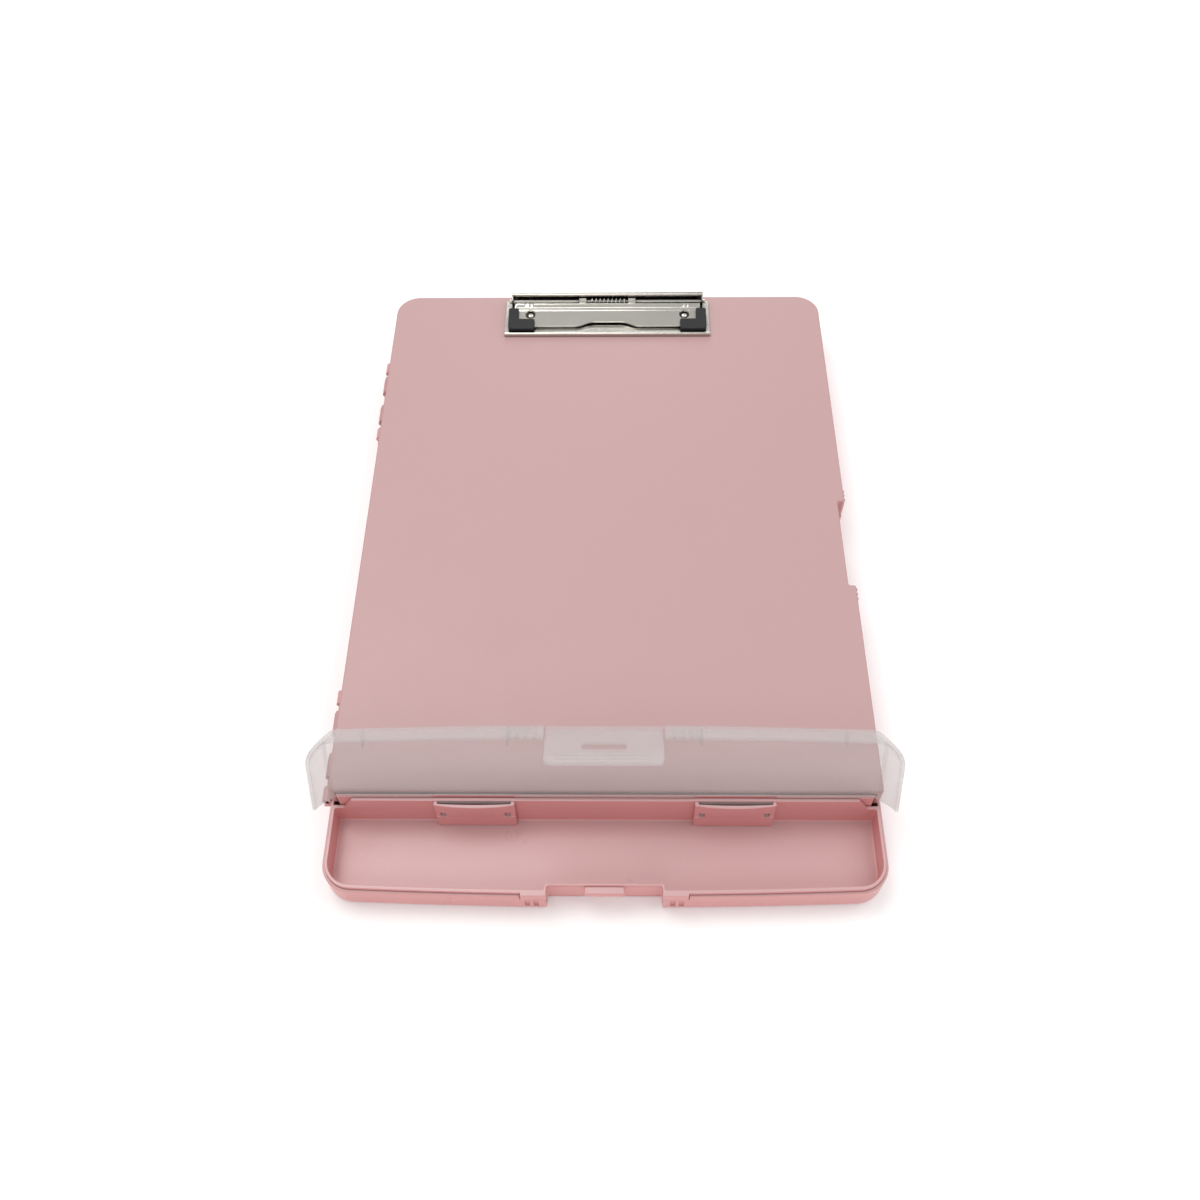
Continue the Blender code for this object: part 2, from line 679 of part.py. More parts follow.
def build_pen_lid(clear):
    """Translucent lid: a lofted shell with a long latch tab, turned to its open stop."""
    pivot = bpy.data.objects.new("pen_lid_pivot", None)
    bpy.data.collections["storage_clipboard"].objects.link(pivot)
    lid = add_object("pen_lid", lid_surface())
    shell = lid.modifiers.new("shell", "SOLIDIFY")
    shell.thickness = LID_THICKNESS
    shell.offset = -1
    shell.use_even_offset = True
    front = COVER_FRONT - PIVOT_Y
    half = RECESS_WIDTH / 2
    tab_front = front + TAB_SETBACK
    opening = box(
        "lid_front_opening",
        (-half - GAP, front - 2 * OVERCUT, LID_RIM - OVERCUT),
        (half + GAP, tab_front + TAB_THICKNESS / 2, LID_TOP + OVERCUT),
    )
    tab_half = half - GAP
    foot = LID_TOP - TAB_LENGTH
    corner = TAB_CORNER
    outline = arc((corner - tab_half, foot + corner), (corner, corner), 180, 270)
    outline += arc((tab_half - corner, foot + corner), (corner, corner), 270, 360)
    outline += [(tab_half, LID_TOP), (-tab_half, LID_TOP)]
    tab_mesh = prism_mesh("latch_tab", outline, -tab_front - TAB_THICKNESS, -tab_front)
    tab_mesh.transform(FACING_Y)
    tab = add_object("latch_tab", tab_mesh, "cutters")
    for cutter in (opening, tab):
        cutter.parent = pivot
    cut(lid, opening)
    join(lid, tab)
    lid.parent = pivot
    pivot.location = (0, PIVOT_Y, PIVOT_Z)
    pivot.rotation_euler.x = -LID_OPEN_ANGLE
    lid.data.materials.append(clear)
    smooth(lid)
    return lid


def build_case_hinge_pin(name, centre, steel):
    half = HINGE_MIDDLE_SPACE / 2 + HINGE_COVER_KNUCKLE + HINGE_NARROW_SPACE + HINGE_END_KNUCKLE
    pin = cylinder(
        name, (HINGE_X, centre - half, HINGE_Z), (HINGE_X, centre + half, HINGE_Z),
        HINGE_PIN_RADIUS, 16, "storage_clipboard",
    )
    pin.data.materials.append(steel)
    smooth(pin)
    return pin


def clip_plate_profile():
    """Section of the base plate from front to back: lip, flat, back wall and its rolled top."""
    low = CASE_HEIGHT + GAP
    top = low + CLIP_SHEET
    lip_top = low + CLIP_LIP_HEIGHT
    inner_face = CLIP_BACK - CLIP_SHEET
    roll = (CLIP_BACK - CLIP_ROLL_RADIUS, low + CLIP_BACK_HEIGHT)
    start = -math.degrees(math.acos(1 - CLIP_SHEET / CLIP_ROLL_RADIUS))
    points = [(CLIP_FRONT, low), (CLIP_BACK, low), (CLIP_BACK, roll[1])]
    points += arc(roll, (CLIP_ROLL_RADIUS, CLIP_ROLL_RADIUS), 0, 360 + start, 12)[1:]
    points += [(inner_face, top), (CLIP_FRONT + CLIP_LIP_DEPTH, top)]
    points += [(CLIP_FRONT + CLIP_LIP_DEPTH, lip_top - GAP), (CLIP_FRONT + CLIP_LIP_DEPTH / 2, lip_top)]
    return points + [(CLIP_FRONT, lip_top - GAP)]


def build_clip_base_plate(steel):
    """Sheet-metal base: a flat plate with a front lip, a tall rolled back and two end cheeks."""
    low = CASE_HEIGHT + GAP
    half = CLIP_WIDTH / 2
    mesh = prism_mesh("clip_base_plate", clip_plate_profile(), -half, half)
    mesh.transform(ALONG_X)
    plate = add_object("clip_base_plate", mesh)
    inner = JAW_WIDTH / 2 + CHEEK_GAP
    outer = inner + CHEEK_THICKNESS
    for side in (-1, 1):
        ends = sorted((side * (outer + GAP), side * (half + OVERCUT)))
        trim = box(
            f"clip_back_trim_{side}", (ends[0], CLIP_BACK - CHEEK_DEPTH - STEP, low + CLIP_SHEET),
            (ends[1], CLIP_BACK + OVERCUT, low + 2 * CLIP_BACK_HEIGHT),
        )
        cut(plate, trim)
    for side in (-1, 1):
        ends = sorted((side * inner, side * outer))
        cheek = box(
            f"clip_cheek_{side}", (ends[0], CLIP_BACK - CHEEK_DEPTH, low + CLIP_SHEET / 2),
            (ends[1], CLIP_BACK - CLIP_SHEET / 2, low + CLIP_BACK_HEIGHT - CLIP_SHEET / 2),
        )
        join(plate, cheek)
    bore = cylinder(
        "clip_rod_bore", (-half, ROD_Y, ROD_Z), (half, ROD_Y, ROD_Z), ROD_RADIUS + GAP, 20
    )
    cut(plate, bore)
    for side in (-1, 1):
        x = side * RIVET_OFFSET
        hole = cylinder(
            f"plate_rivet_hole_{side}", (x, RIVET_Y, low - OVERCUT), (x, RIVET_Y, low + 2 * CLIP_SHEET),
            RIVET_SHANK_RADIUS + GAP, 20,
        )
        cut(plate, hole)
    plate.data.materials.append(steel)
    smooth(plate)
    return plate


def jaw_rows():
    """(y, z, share of the hump) of the jaw sheet's middle line, from its front edge to its rear edge."""
    base = CASE_HEIGHT + GAP
    front_z = base + CLIP_SHEET + JAW_FRONT_HEIGHT - CLIP_SHEET / 2
    bend_y = ROD_Y - JAW_BEND_FROM_ROD
    bend_z = base + JAW_BEND_HEIGHT
    rear = (ROD_Y - JAW_REAR_FROM_ROD, base + JAW_REAR_HEIGHT, 0.0)
    third = (bend_y - JAW_FRONT) / 3
    rise = (bend_z - front_z) / 3
    rows = [(JAW_FRONT + third * i, front_z + rise * i, max(0.0, 1 - i / 2)) for i in range(4)]
    return rows + [rear]


def build_clip_jaw(steel):
    """Sprung jaw: a bent sheet with a finger hump, two lugs on the rod and holes over the rivets."""
    columns = (-JAW_WIDTH / 2, -HUMP_BASE / 2, -HUMP_TOP / 2, HUMP_TOP / 2, HUMP_BASE / 2, JAW_WIDTH / 2)
    work = bmesh.new()
    bmesh.ops.create_grid(work, x_segments=len(columns) - 1, y_segments=len(jaw_rows()) - 1, size=1.0)
    ordered = sorted(work.verts, key=lambda v: (round(v.co.y, 3), v.co.x))
    for index, vertex in enumerate(ordered):
        y, z, share = jaw_rows()[index // len(columns)]
        column = index % len(columns)
        lift = HUMP_HEIGHT * share if column in (2, 3) else 0.0
        vertex.co = (columns[column], y, z + lift)
    mesh = bpy.data.meshes.new("clip_jaw")
    work.to_mesh(mesh)
    work.free()
    mesh.transform(Matrix.Translation((0, -ROD_Y, -ROD_Z)))
    jaw = add_object("clip_jaw", mesh)
    jaw.location = (0, ROD_Y, ROD_Z)
    sheet = jaw.modifiers.new("sheet", "SOLIDIFY")
    sheet.thickness = CLIP_SHEET
    sheet.offset = 0
    sheet.use_even_offset = True
    outer = ROD_RADIUS + GAP + LUG_WALL
    for side in (-1, 1):
        ends = [side * LUG_OFFSET - LUG_WIDTH / 2, side * LUG_OFFSET + LUG_WIDTH / 2]
        barrel = cylinder(f"jaw_lug_{side}", (ends[0], ROD_Y, ROD_Z), (ends[1], ROD_Y, ROD_Z), outer, 20)
        web = box(
            f"jaw_web_{side}",
            (ends[0], ROD_Y - JAW_REAR_FROM_ROD - CLIP_SHEET / 2, ROD_Z - CLIP_SHEET / 4),
            (ends[1], ROD_Y, ROD_Z + LUG_WEB_HEIGHT),
        )
        join(jaw, barrel, web)
    bore = cylinder(
        "jaw_rod_bore", (-JAW_WIDTH / 2, ROD_Y, ROD_Z), (JAW_WIDTH / 2, ROD_Y, ROD_Z), ROD_RADIUS + GAP, 20
    )
    cut(jaw, bore)
    for side in (-1, 1):
        x = side * RIVET_OFFSET
        hole = cylinder(
            f"jaw_rivet_view_{side}", (x, RIVET_Y, CASE_HEIGHT), (x, RIVET_Y, CASE_HEIGHT + CLIP_BACK_HEIGHT),
            RIVET_VIEW_RADIUS, 24,
        )
        cut(jaw, hole)
    jaw.data.materials.append(steel)
    smooth(jaw, 25)
    return jaw


def build_hinge_rod(steel):
    half = JAW_WIDTH / 2 + CHEEK_GAP + CHEEK_THICKNESS + ROD_END
    rod = cylinder(
        "clip_hinge_rod", (-half, ROD_Y, ROD_Z), (half, ROD_Y, ROD_Z), ROD_RADIUS, 16, "storage_clipboard"
    )
    rod.data.materials.append(steel)
    smooth(rod)
    return rod


def spring_points():
    """Centre line of the spring: a leg against the back, close coils round the rod, a leg on the jaw."""
    radius = ROD_RADIUS + GAP + SPRING_WIRE
    count = SPRING_TURNS * SPRING_POINTS_PER_TURN + SPRING_POINTS_PER_TURN // 2
    points = []
    for index in range(count + 1):
        angle = 2 * math.pi * index / SPRING_POINTS_PER_TURN - math.pi / 2
        x = SPRING_LENGTH * (index / count - 0.5)
        points.append((x, ROD_Y + radius * math.cos(angle), ROD_Z + radius * math.sin(angle)))
    back_leg = CLIP_BACK - CLIP_SHEET - GAP - SPRING_WIRE
    jaw_leg = ROD_Y - JAW_REAR_FROM_ROD - CLIP_SHEET / 2
    jaw_top = CASE_HEIGHT + GAP + JAW_REAR_HEIGHT + CLIP_SHEET / 2 + GAP + SPRING_WIRE
    start = (points[0][0], back_leg, points[0][2])
    end = (points[-1][0], jaw_leg, jaw_top + CLIP_SHEET / 4)
    return [start] + points + [end]


def build_torsion_spring(steel):
    curve = bpy.data.curves.new("clip_torsion_spring", "CURVE")
    curve.dimensions = "3D"
    curve.bevel_depth = SPRING_WIRE
    curve.bevel_resolution = 2
    curve.use_fill_caps = True
    route = spring_points()
    spline = curve.splines.new("POLY")
    spline.points.add(len(route) - 1)
    for point, place in zip(spline.points, route):
        point.co = (*place, 1)
    spring = add_object("clip_torsion_spring", curve)
    spring.data.materials.append(steel)
    return spring


def jaw_height(y):
    """Height of the jaw sheet's middle line at a place in front of its bend."""
    first = jaw_rows()[0]
    bend = jaw_rows()[3]
    return first[1] + (y - first[0]) / (bend[0] - first[0]) * (bend[1] - first[1])


def build_corner_guard(name, side, black):
    """L-shaped plastic guard that wraps one front corner of the jaw."""
    outer = JAW_WIDTH / 2 + GUARD_OVERHANG
    front = JAW_FRONT - GUARD_FRONT_OVERHANG
    rear = ROD_Y - JAW_BEND_FROM_ROD - GAP
    inner = outer - GUARD_SIDE_WIDTH - CLIP_SHEET / 2
    leg = outer - GUARD_FRONT_LEG
    outline = [(leg, front)]
    corner = (outer - GUARD_CORNER, front + GUARD_CORNER)
    outline += arc(corner, (GUARD_CORNER, GUARD_CORNER), 270, 360, 4)
    outline += [(outer, rear), (inner, rear), (inner, front + GUARD_FRONT_DEPTH)]
    outline += [(leg, front + GUARD_FRONT_DEPTH)]
    low = CASE_HEIGHT + GAP + CLIP_SHEET + GAP
    mesh = prism_mesh(name, outline, low, CASE_HEIGHT + CLIP_BACK_HEIGHT)
    for vertex in mesh.vertices:
        surface = jaw_height(vertex.co.y)
        if vertex.co.z > low + OVERCUT:
            vertex.co.z = surface + CLIP_SHEET / 2 + GUARD_RISE
        else:
            vertex.co.z = max(low, surface - CLIP_SHEET / 2 - GUARD_RISE / 2)
    if side < 0:
        mesh.transform(Matrix.Scale(-1, 4, (1, 0, 0)))
        mesh.flip_normals()
    guard = add_object(name, mesh)
    ends = (0, side * (JAW_WIDTH / 2 + GAP))
    slot_rows = (JAW_FRONT - GAP, rear + OVERCUT)
    slot_mesh = prism_mesh(
        name + "_slot",
        [(slot_rows[0], jaw_height(slot_rows[0]) - CLIP_SHEET / 2 - GAP),
         (slot_rows[1], jaw_height(slot_rows[1]) - CLIP_SHEET / 2 - GAP),
         (slot_rows[1], jaw_height(slot_rows[1]) + CLIP_SHEET / 2 + GAP),
         (slot_rows[0], jaw_height(slot_rows[0]) + CLIP_SHEET / 2 + GAP)],
        min(ends), max(ends),
    )
    slot_mesh.transform(ALONG_X)
    cut(guard, add_object(name + "_slot", slot_mesh, "cutters"))
    guard.data.materials.append(black)
    return guard


def turned(name, profile, place, material_used, segments=24, closed=False):
    """Turned piece about a vertical axis, from a profile of (radius, height) run outer side downwards."""
    mesh = bpy.data.meshes.new(name)
    work = bmesh.new()
    vertices = [work.verts.new((radius, 0, height)) for radius, height in profile]
    ends = vertices[1:] + (vertices[:1] if closed else [])
    for first, second in zip(vertices, ends):
        work.edges.new((first, second))
    work.to_mesh(mesh)
    work.free()
    obj = add_object(name, mesh)
    obj.location = place
    screw = obj.modifiers.new("turn", "SCREW")
    screw.axis = "Z"
    screw.steps = segments
    screw.render_steps = segments
    screw.use_merge_vertices = True
    screw.merge_threshold = 0.00005
    obj.data.materials.append(material_used)
    return obj


def build_rivet(name, side, steel):
    """Rivet from the base plate through the board to its washer, with a tail closed over the washer."""
    head = BASE_PLATE_TOP + GAP
    tail = BOARD_UNDERSIDE - GAP - WASHER_THICKNESS - GAP
    profile = [(0.0, head + RIVET_HEAD_HEIGHT)]
    for step in range(1, 5):
        angle = math.pi / 2 * (1 - step / 4)
        profile.append(
            (RIVET_HEAD_RADIUS * math.cos(angle), head + RIVET_HEAD_HEIGHT * math.sin(angle))
        )
    profile += [(RIVET_SHANK_RADIUS, head), (RIVET_SHANK_RADIUS, tail)]
    profile += [(RIVET_HEAD_RADIUS, tail), (RIVET_TAIL_RADIUS, tail - RIVET_TAIL_HEIGHT)]
    profile.append((0.0, tail - RIVET_TAIL_HEIGHT))
    return turned(name, profile, (side * RIVET_OFFSET, RIVET_Y, 0), steel, 20)


def build_washer(name, side, steel):
    top = BOARD_UNDERSIDE - GAP
    inner = RIVET_SHANK_RADIUS + GAP
    profile = [
        (inner, top), (WASHER_RADIUS, top), (WASHER_RADIUS, top - WASHER_THICKNESS),
        (inner, top - WASHER_THICKNESS),
    ]
    return turned(name, profile, (side * RIVET_OFFSET, RIVET_Y, 0), steel, closed=True)


def build():
    clear_scene()
    board_pink = material("board_pink", (0.62, 0.37, 0.36), 0.45)
    tray_pink = material("tray_pink", (0.72, 0.40, 0.40), 0.4)
    clear = material("clear_plastic", (0.80, 0.80, 0.79), 0.3, alpha=0.5)
    steel = material("plated_steel", (0.68, 0.67, 0.62), 0.2, metallic=1.0)
    black = material("black_plastic", (0.02, 0.02, 0.022), 0.4)
    build_storage_base(tray_pink)
    build_writing_board(board_pink)
    build_pen_tray(tray_pink)
    for side, word in ((-1, "left"), (1, "right")):
        build_hinge_bracket(f"lid_bracket_{word}", side * STRAP_OFFSET, tray_pink)
        build_hinge_strap(f"lid_hinge_strap_{word}", side * STRAP_OFFSET, clear)
        build_corner_guard(f"clip_corner_guard_{word}", side, black)
        build_rivet(f"clip_rivet_{word}", side, steel)
        build_washer(f"rivet_washer_{word}", side, steel)
    build_pen_lid(clear)
    for name, centre in hinge_groups():
        build_case_hinge_pin(f"case_hinge_pin_{name}", centre, steel)
    build_clip_base_plate(steel)
    build_clip_jaw(steel)
    build_hinge_rod(steel)
    build_torsion_spring(steel)


build()
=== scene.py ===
"""Storage clipboard, open pen lid and all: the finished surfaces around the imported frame.

Units are metres, in the frame's own axes: +Z up, +Y towards the clip, +X to the writer's right.
Each sub-assembly is a class that holds its sizes, builds its meshes and dresses them.
"""

import json
import logging
import math
from collections.abc import Sequence
from dataclasses import dataclass
from enum import Enum
from typing import Any

import bmesh
import bpy
from mathutils import Matrix, Vector


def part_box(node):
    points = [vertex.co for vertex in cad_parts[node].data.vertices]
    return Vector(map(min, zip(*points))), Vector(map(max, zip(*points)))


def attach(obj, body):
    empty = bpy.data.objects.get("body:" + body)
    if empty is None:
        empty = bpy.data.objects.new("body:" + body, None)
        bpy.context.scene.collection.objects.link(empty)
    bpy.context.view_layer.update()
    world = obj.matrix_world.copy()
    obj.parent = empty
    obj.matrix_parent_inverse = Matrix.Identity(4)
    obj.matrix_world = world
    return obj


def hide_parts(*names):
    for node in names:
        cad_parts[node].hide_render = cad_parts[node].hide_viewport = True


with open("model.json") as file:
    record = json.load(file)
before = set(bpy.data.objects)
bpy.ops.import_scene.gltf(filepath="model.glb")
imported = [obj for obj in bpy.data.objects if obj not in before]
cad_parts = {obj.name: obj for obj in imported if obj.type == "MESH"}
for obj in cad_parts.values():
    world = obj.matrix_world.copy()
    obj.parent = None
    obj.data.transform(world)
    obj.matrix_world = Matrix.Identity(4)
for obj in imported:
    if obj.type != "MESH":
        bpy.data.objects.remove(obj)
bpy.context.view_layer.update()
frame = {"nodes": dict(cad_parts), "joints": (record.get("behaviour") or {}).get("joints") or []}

LOG = logging.getLogger("storage_clipboard")

GAP = 0.0003
MERGE = 0.000002
SLIVER = 0.00005
TAIL_DEPTH = 0.0007

Colour = tuple[float, float, float]
Point = tuple[float, float]
Place = tuple[float, float, float]
Ring = list[Vector]
Mesh = bpy.types.Mesh
Socket = bpy.types.NodeSocket
Cuts = list[tuple[str, Mesh]]


class Body(Enum):
    """Moving bodies of the frame."""

    CASE = "case"
    COVER = "cover"
    LID = "lid"
    JAW = "jaw"


class Slot(Enum):
    """Material slots of the record."""

    BOARD = "board_plastic"
    CASE = "case_plastic"
    CLEAR = "clear_plastic"
    STEEL = "steel"
    GUARD = "guard_plastic"


# ---------------------------------------------------------------- node graphs


class Graph:
    """Short calls for adding nodes to a tree and joining them."""

    def __init__(self, tree: bpy.types.NodeTree) -> None:
        """Wraps a tree.

        Args:
            tree: The shader or geometry tree that gets the nodes.
        """
        self.tree = tree

    def add(self, kind: str, inputs: dict[str | int, Any] | None = None, **settings: Any) -> bpy.types.Node:
        """Adds a node, with its settings and its inputs.

        Args:
            kind: The node's type name.
            inputs: Values, or sockets to link from, by input name or index.
            settings: The node's own properties.

        Returns:
            The new node.
        """
        node = self.tree.nodes.new(kind)
        for key, value in settings.items():
            setattr(node, key, value)
        for key, value in (inputs or {}).items():
            if isinstance(value, Socket):
                self.tree.links.new(value, node.inputs[key])
            else:
                node.inputs[key].default_value = value
        return node

    def noise(self, vector: Any, scale: Any, detail: float = 2.0, roughness: float = 0.5) -> Socket:
        """Returns the value output of a noise texture on a vector socket."""
        inputs = {"Vector": vector, "Scale": scale, "Detail": detail, "Roughness": roughness}
        return self.add("ShaderNodeTexNoise", inputs).outputs[0]

    def remap(self, value: Any, low: float, high: float, to_low: Any, to_high: Any) -> Socket:
        """Returns a value moved from one range to another, clamped."""
        inputs = {0: value, 1: low, 2: high, 3: to_low, 4: to_high}
        return self.add("ShaderNodeMapRange", inputs).outputs[0]

    def maths(self, operation: str, first: Any, second: Any) -> Socket:
        """Returns the result of one Math node."""
        return self.add("ShaderNodeMath", {0: first, 1: second}, operation=operation).outputs[0]

    def blend(self, factor: Any, first: Any, second: Any) -> Socket:
        """Returns a colour mixed between two by a factor socket."""
        inputs = {0: factor, 6: first, 7: second}
        return self.add("ShaderNodeMix", inputs, data_type="RGBA").outputs[2]


class ShaderGroup(Graph):
    """A shader node group with named inputs and outputs, built once and placed in several materials."""

    def __init__(self, name: str, inputs: dict[str, float | None], outputs: Sequence[str]) -> None:
        """Makes the group and its sockets.

        Args:
            name: The group's name.
            inputs: Default value of each float input, or None for a vector input.
            outputs: Names of its float outputs.
        """
        super().__init__(bpy.data.node_groups.new(name, "ShaderNodeTree"))
        for label, default in inputs.items():
            kind = "NodeSocketVector" if default is None else "NodeSocketFloat"
            socket = self.tree.interface.new_socket(name=label, in_out="INPUT", socket_type=kind)
            if default is not None:
                socket.default_value = default
        for label in outputs:
            self.tree.interface.new_socket(name=label, in_out="OUTPUT", socket_type="NodeSocketFloat")
        self.entry = self.add("NodeGroupInput").outputs
        self.exit = self.add("NodeGroupOutput")

    def put_out(self, label: str, socket: Socket) -> None:
        """Links a socket to one of the group's outputs."""
        self.tree.links.new(socket, self.exit.inputs[label])


class Effects:
    """The shader groups that the finishes share."""

    def __init__(self) -> None:
        """Builds each group once."""
        self.grain = self._moulded_grain()
        self.handling = self._handling()
        self.flow = self._flow_lines()
        self.edges = self._edge_wear()
        self.top_light_paint = self._painted_top_light_group()

    def _moulded_grain(self) -> bpy.types.NodeTree:
        """Returns the group for spark-eroded mould texture: a height and a slow mottle."""
        group = ShaderGroup("moulded_grain", {"Vector": None, "Grains": 3000.0}, ("Height", "Mottle"))
        vector, grains = group.entry["Vector"], group.entry["Grains"]
        fine = group.noise(vector, grains, 2.0, 0.6)
        coarse = group.noise(vector, group.maths("MULTIPLY", grains, 0.31), 1.0)
        group.put_out("Height", group.maths("ADD", group.maths("MULTIPLY", fine, 0.6), coarse))
        group.put_out("Mottle", group.remap(group.noise(vector, 14.0, 3.0), 0.35, 0.65, 0.0, 1.0))
        return group.tree

    def _handling(self) -> bpy.types.NodeTree:
        """Returns the group for handled surfaces: a roughness between two values, and a scuff mask."""
        inputs = {"Vector": None, "Smooth": 0.3, "Rough": 0.5}
        group = ShaderGroup("handling_marks", inputs, ("Roughness", "Scuffs"))
        vector = group.entry["Vector"]
        smudges = group.noise(vector, 30.0, 4.0, 0.6)
        level = group.remap(smudges, 0.3, 0.7, group.entry["Smooth"], group.entry["Rough"])
        stretched = group.add(
            "ShaderNodeMapping", {"Vector": vector, "Rotation": (0.0, 0.0, 0.5), "Scale": (1.0, 14.0, 14.0)}
        ).outputs[0]
        scuffs = group.remap(group.noise(stretched, 160.0, 3.0, 0.7), 0.6, 0.85, 0.0, 1.0)
        group.put_out("Roughness", group.maths("ADD", level, group.maths("MULTIPLY", scuffs, 0.03)))
        group.put_out("Scuffs", scuffs)
        return group.tree

    def _flow_lines(self) -> bpy.types.NodeTree:
        """Returns the group for the faint streaks that plastic keeps from filling its mould."""
        group = ShaderGroup("flow_lines", {"Vector": None, "Stretch": 12.0}, ("Streaks",))
        stretch = group.entry["Stretch"]
        scale = group.add("ShaderNodeCombineXYZ", {0: 1.0, 1: stretch, 2: stretch}).outputs[0]
        stretched = group.add("ShaderNodeMapping", {"Vector": group.entry["Vector"], "Scale": scale}).outputs[0]
        streaks = group.noise(stretched, 9.0, 4.0, 0.55)
        group.put_out("Streaks", group.remap(streaks, 0.35, 0.7, 0.0, 1.0))
        return group.tree

    def _edge_wear(self) -> bpy.types.NodeTree:
        """Returns the group for rubbed convex edges, broken up by noise."""
        inputs = {"Vector": None, "Reach": 0.0008, "Breakup": 400.0}
        group = ShaderGroup("edge_wear", inputs, ("Mask",))
        inside = group.add("ShaderNodeAmbientOcclusion", {"Distance": group.entry["Reach"]}, inside=True, samples=6)
        edge = group.remap(inside.outputs["AO"], 0.45, 0.85, 1.0, 0.0)
        broken = group.remap(group.noise(group.entry["Vector"], group.entry["Breakup"], 3.0), 0.4, 0.6, 0.2, 1.0)
        group.put_out("Mask", group.maths("MULTIPLY", edge, broken))
        return group.tree

    def _painted_top_light_group(self) -> bpy.types.NodeTree:
        """Returns the group that masks faces looking up, where a paler tone is painted to stand in for the light from
        above.
        """
        group = ShaderGroup("painted_top_light_mask", {"Normal": None}, ("Mask",))
        upward = group.add("ShaderNodeSeparateXYZ", {0: group.entry["Normal"]}).outputs[2]
        group.put_out("Mask", group.remap(upward, 0.6, 0.97, 0.0, 1.0))
        return group.tree


# ---------------------------------------------------------------- finishes


class MaterialGraph(Graph):
    """A new material with its Principled shader, its object coordinates and the shared groups at hand."""

    def __init__(self, name: str, effects: Effects) -> None:
        """Makes the material.

        Args:
            name: The material's name.
            effects: The shared shader groups.
        """
        self.material = bpy.data.materials.new(name)
        self.material.use_nodes = True
        super().__init__(self.material.node_tree)
        self.effects = effects
        self.shader = self.tree.nodes["Principled BSDF"]
        coordinates = self.add("ShaderNodeTexCoord").outputs
        self.place, self.normal = coordinates["Object"], coordinates["Normal"]

    def group(self, tree: bpy.types.NodeTree, **values: float) -> bpy.types.Node:
        """Places a shader group, fed with coordinates or, where it asks for them, normals.

        Args:
            tree: The shader group.
            values: This material's own values by input name.

        Returns:
            The group's node.
        """
        node = self.add("ShaderNodeGroup", node_tree=tree)
        source = self.normal if "Normal" in node.inputs else self.place
        self.tree.links.new(source, node.inputs[0])
        for label, value in values.items():
            node.inputs[label].default_value = value
        return node

    def feed(self, label: str, socket: Socket) -> None:
        """Links a socket to an input of the Principled shader."""
        self.tree.links.new(socket, self.shader.inputs[label])

    def fix(self, **values: float) -> None:
        """Sets plain values on the shader's own sockets, with _ for a space in a label."""
        for label, value in values.items():
            self.shader.inputs[label.replace("_", " ")].default_value = value

    def bump(self, height: Socket, depth: float, strength: float = 1.0) -> None:
        """Feeds a height through a Bump node into the shader's normal."""
        node = self.add("ShaderNodeBump", {"Height": height, "Distance": depth, "Strength": strength})
        self.feed("Normal", node.outputs[0])


@dataclass(frozen=True)
class MouldedPlastic:
    """Injection-moulded opaque plastic with a fine mould texture and a painted paler tone on faces lit from above.

    Attributes:
        name: The material's name.
        colour: Linear base colour.
        shade: Linear colour of the mottle's darker places.
        film: Linear colour painted on faces that look up, a painted paler top where the light falls from above.
        smooth: Lowest roughness.
        rough: Highest roughness.
        grains: Texture grains per metre.
        depth: Height of the texture.
        wear: How far rubbed edges lighten.
    """

    name: str
    colour: Colour
    shade: Colour
    film: Colour
    smooth: float
    rough: float
    grains: float
    depth: float
    wear: float = 0.024

    def build(self, effects: Effects) -> bpy.types.Material:
        """Returns the material made from the shared groups."""
        graph = MaterialGraph(self.name, effects)
        grain = graph.group(effects.grain, Grains=self.grains)
        marks = graph.group(effects.handling, Smooth=self.smooth, Rough=self.rough)
        worn = graph.group(effects.edges)
        mottled = graph.blend(grain.outputs["Mottle"], (*self.shade, 1.0), (*self.colour, 1.0))
        # Painted light: faces that look up take the paler film colour, standing in for the light that falls on them
        # from above.
        top_lit_colour = graph.blend(graph.group(effects.top_light_paint).outputs["Mask"], mottled, (*self.film, 1.0))
        light = tuple(min(1.0, part * 1.2 + 0.03) for part in self.film)
        rubbed = graph.maths("MULTIPLY", worn.outputs["Mask"], self.wear)
        graph.feed("Base Color", graph.blend(rubbed, top_lit_colour, (*light, 1.0)))
        graph.feed("Roughness", marks.outputs["Roughness"])
        graph.bump(grain.outputs["Height"], self.depth)
        graph.fix(IOR=1.49, Specular_IOR_Level=0.5)
        return graph.material


@dataclass(frozen=True)
class FrostedFilm:
    """Translucent polypropylene: milky, glossy and denser where it is seen edge-on.

    Attributes:
        name: The material's name.
        colour: Linear colour of the milky film.
        thin: Opacity seen square-on.
        dense: Opacity seen edge-on.
    """

    name: str
    colour: Colour
    thin: float
    dense: float

    def build(self, effects: Effects) -> bpy.types.Material:
        """Returns the material, whose streaks follow the flow of the moulding."""
        graph = MaterialGraph(self.name, effects)
        flow = graph.group(effects.flow, Stretch=10.0).outputs["Streaks"]
        marks = graph.group(effects.handling, Smooth=0.08, Rough=0.16)
        pale = tuple(min(1.0, part * 1.12) for part in self.colour)
        graph.feed("Base Color", graph.blend(flow, (*self.colour, 1.0), (*pale, 1.0)))
        facing = graph.add("ShaderNodeLayerWeight", {"Blend": 0.35}).outputs["Facing"]
        film = graph.remap(facing, 0.0, 0.9, self.thin, self.dense)
        graph.feed("Alpha", graph.maths("ADD", film, graph.maths("MULTIPLY", flow, 0.03)))
        graph.feed("Roughness", marks.outputs["Roughness"])
        height = graph.noise(graph.place, 70.0, 2.0)
        graph.bump(height, 0.0002, 0.35)
        graph.fix(IOR=1.49)
        return graph.material


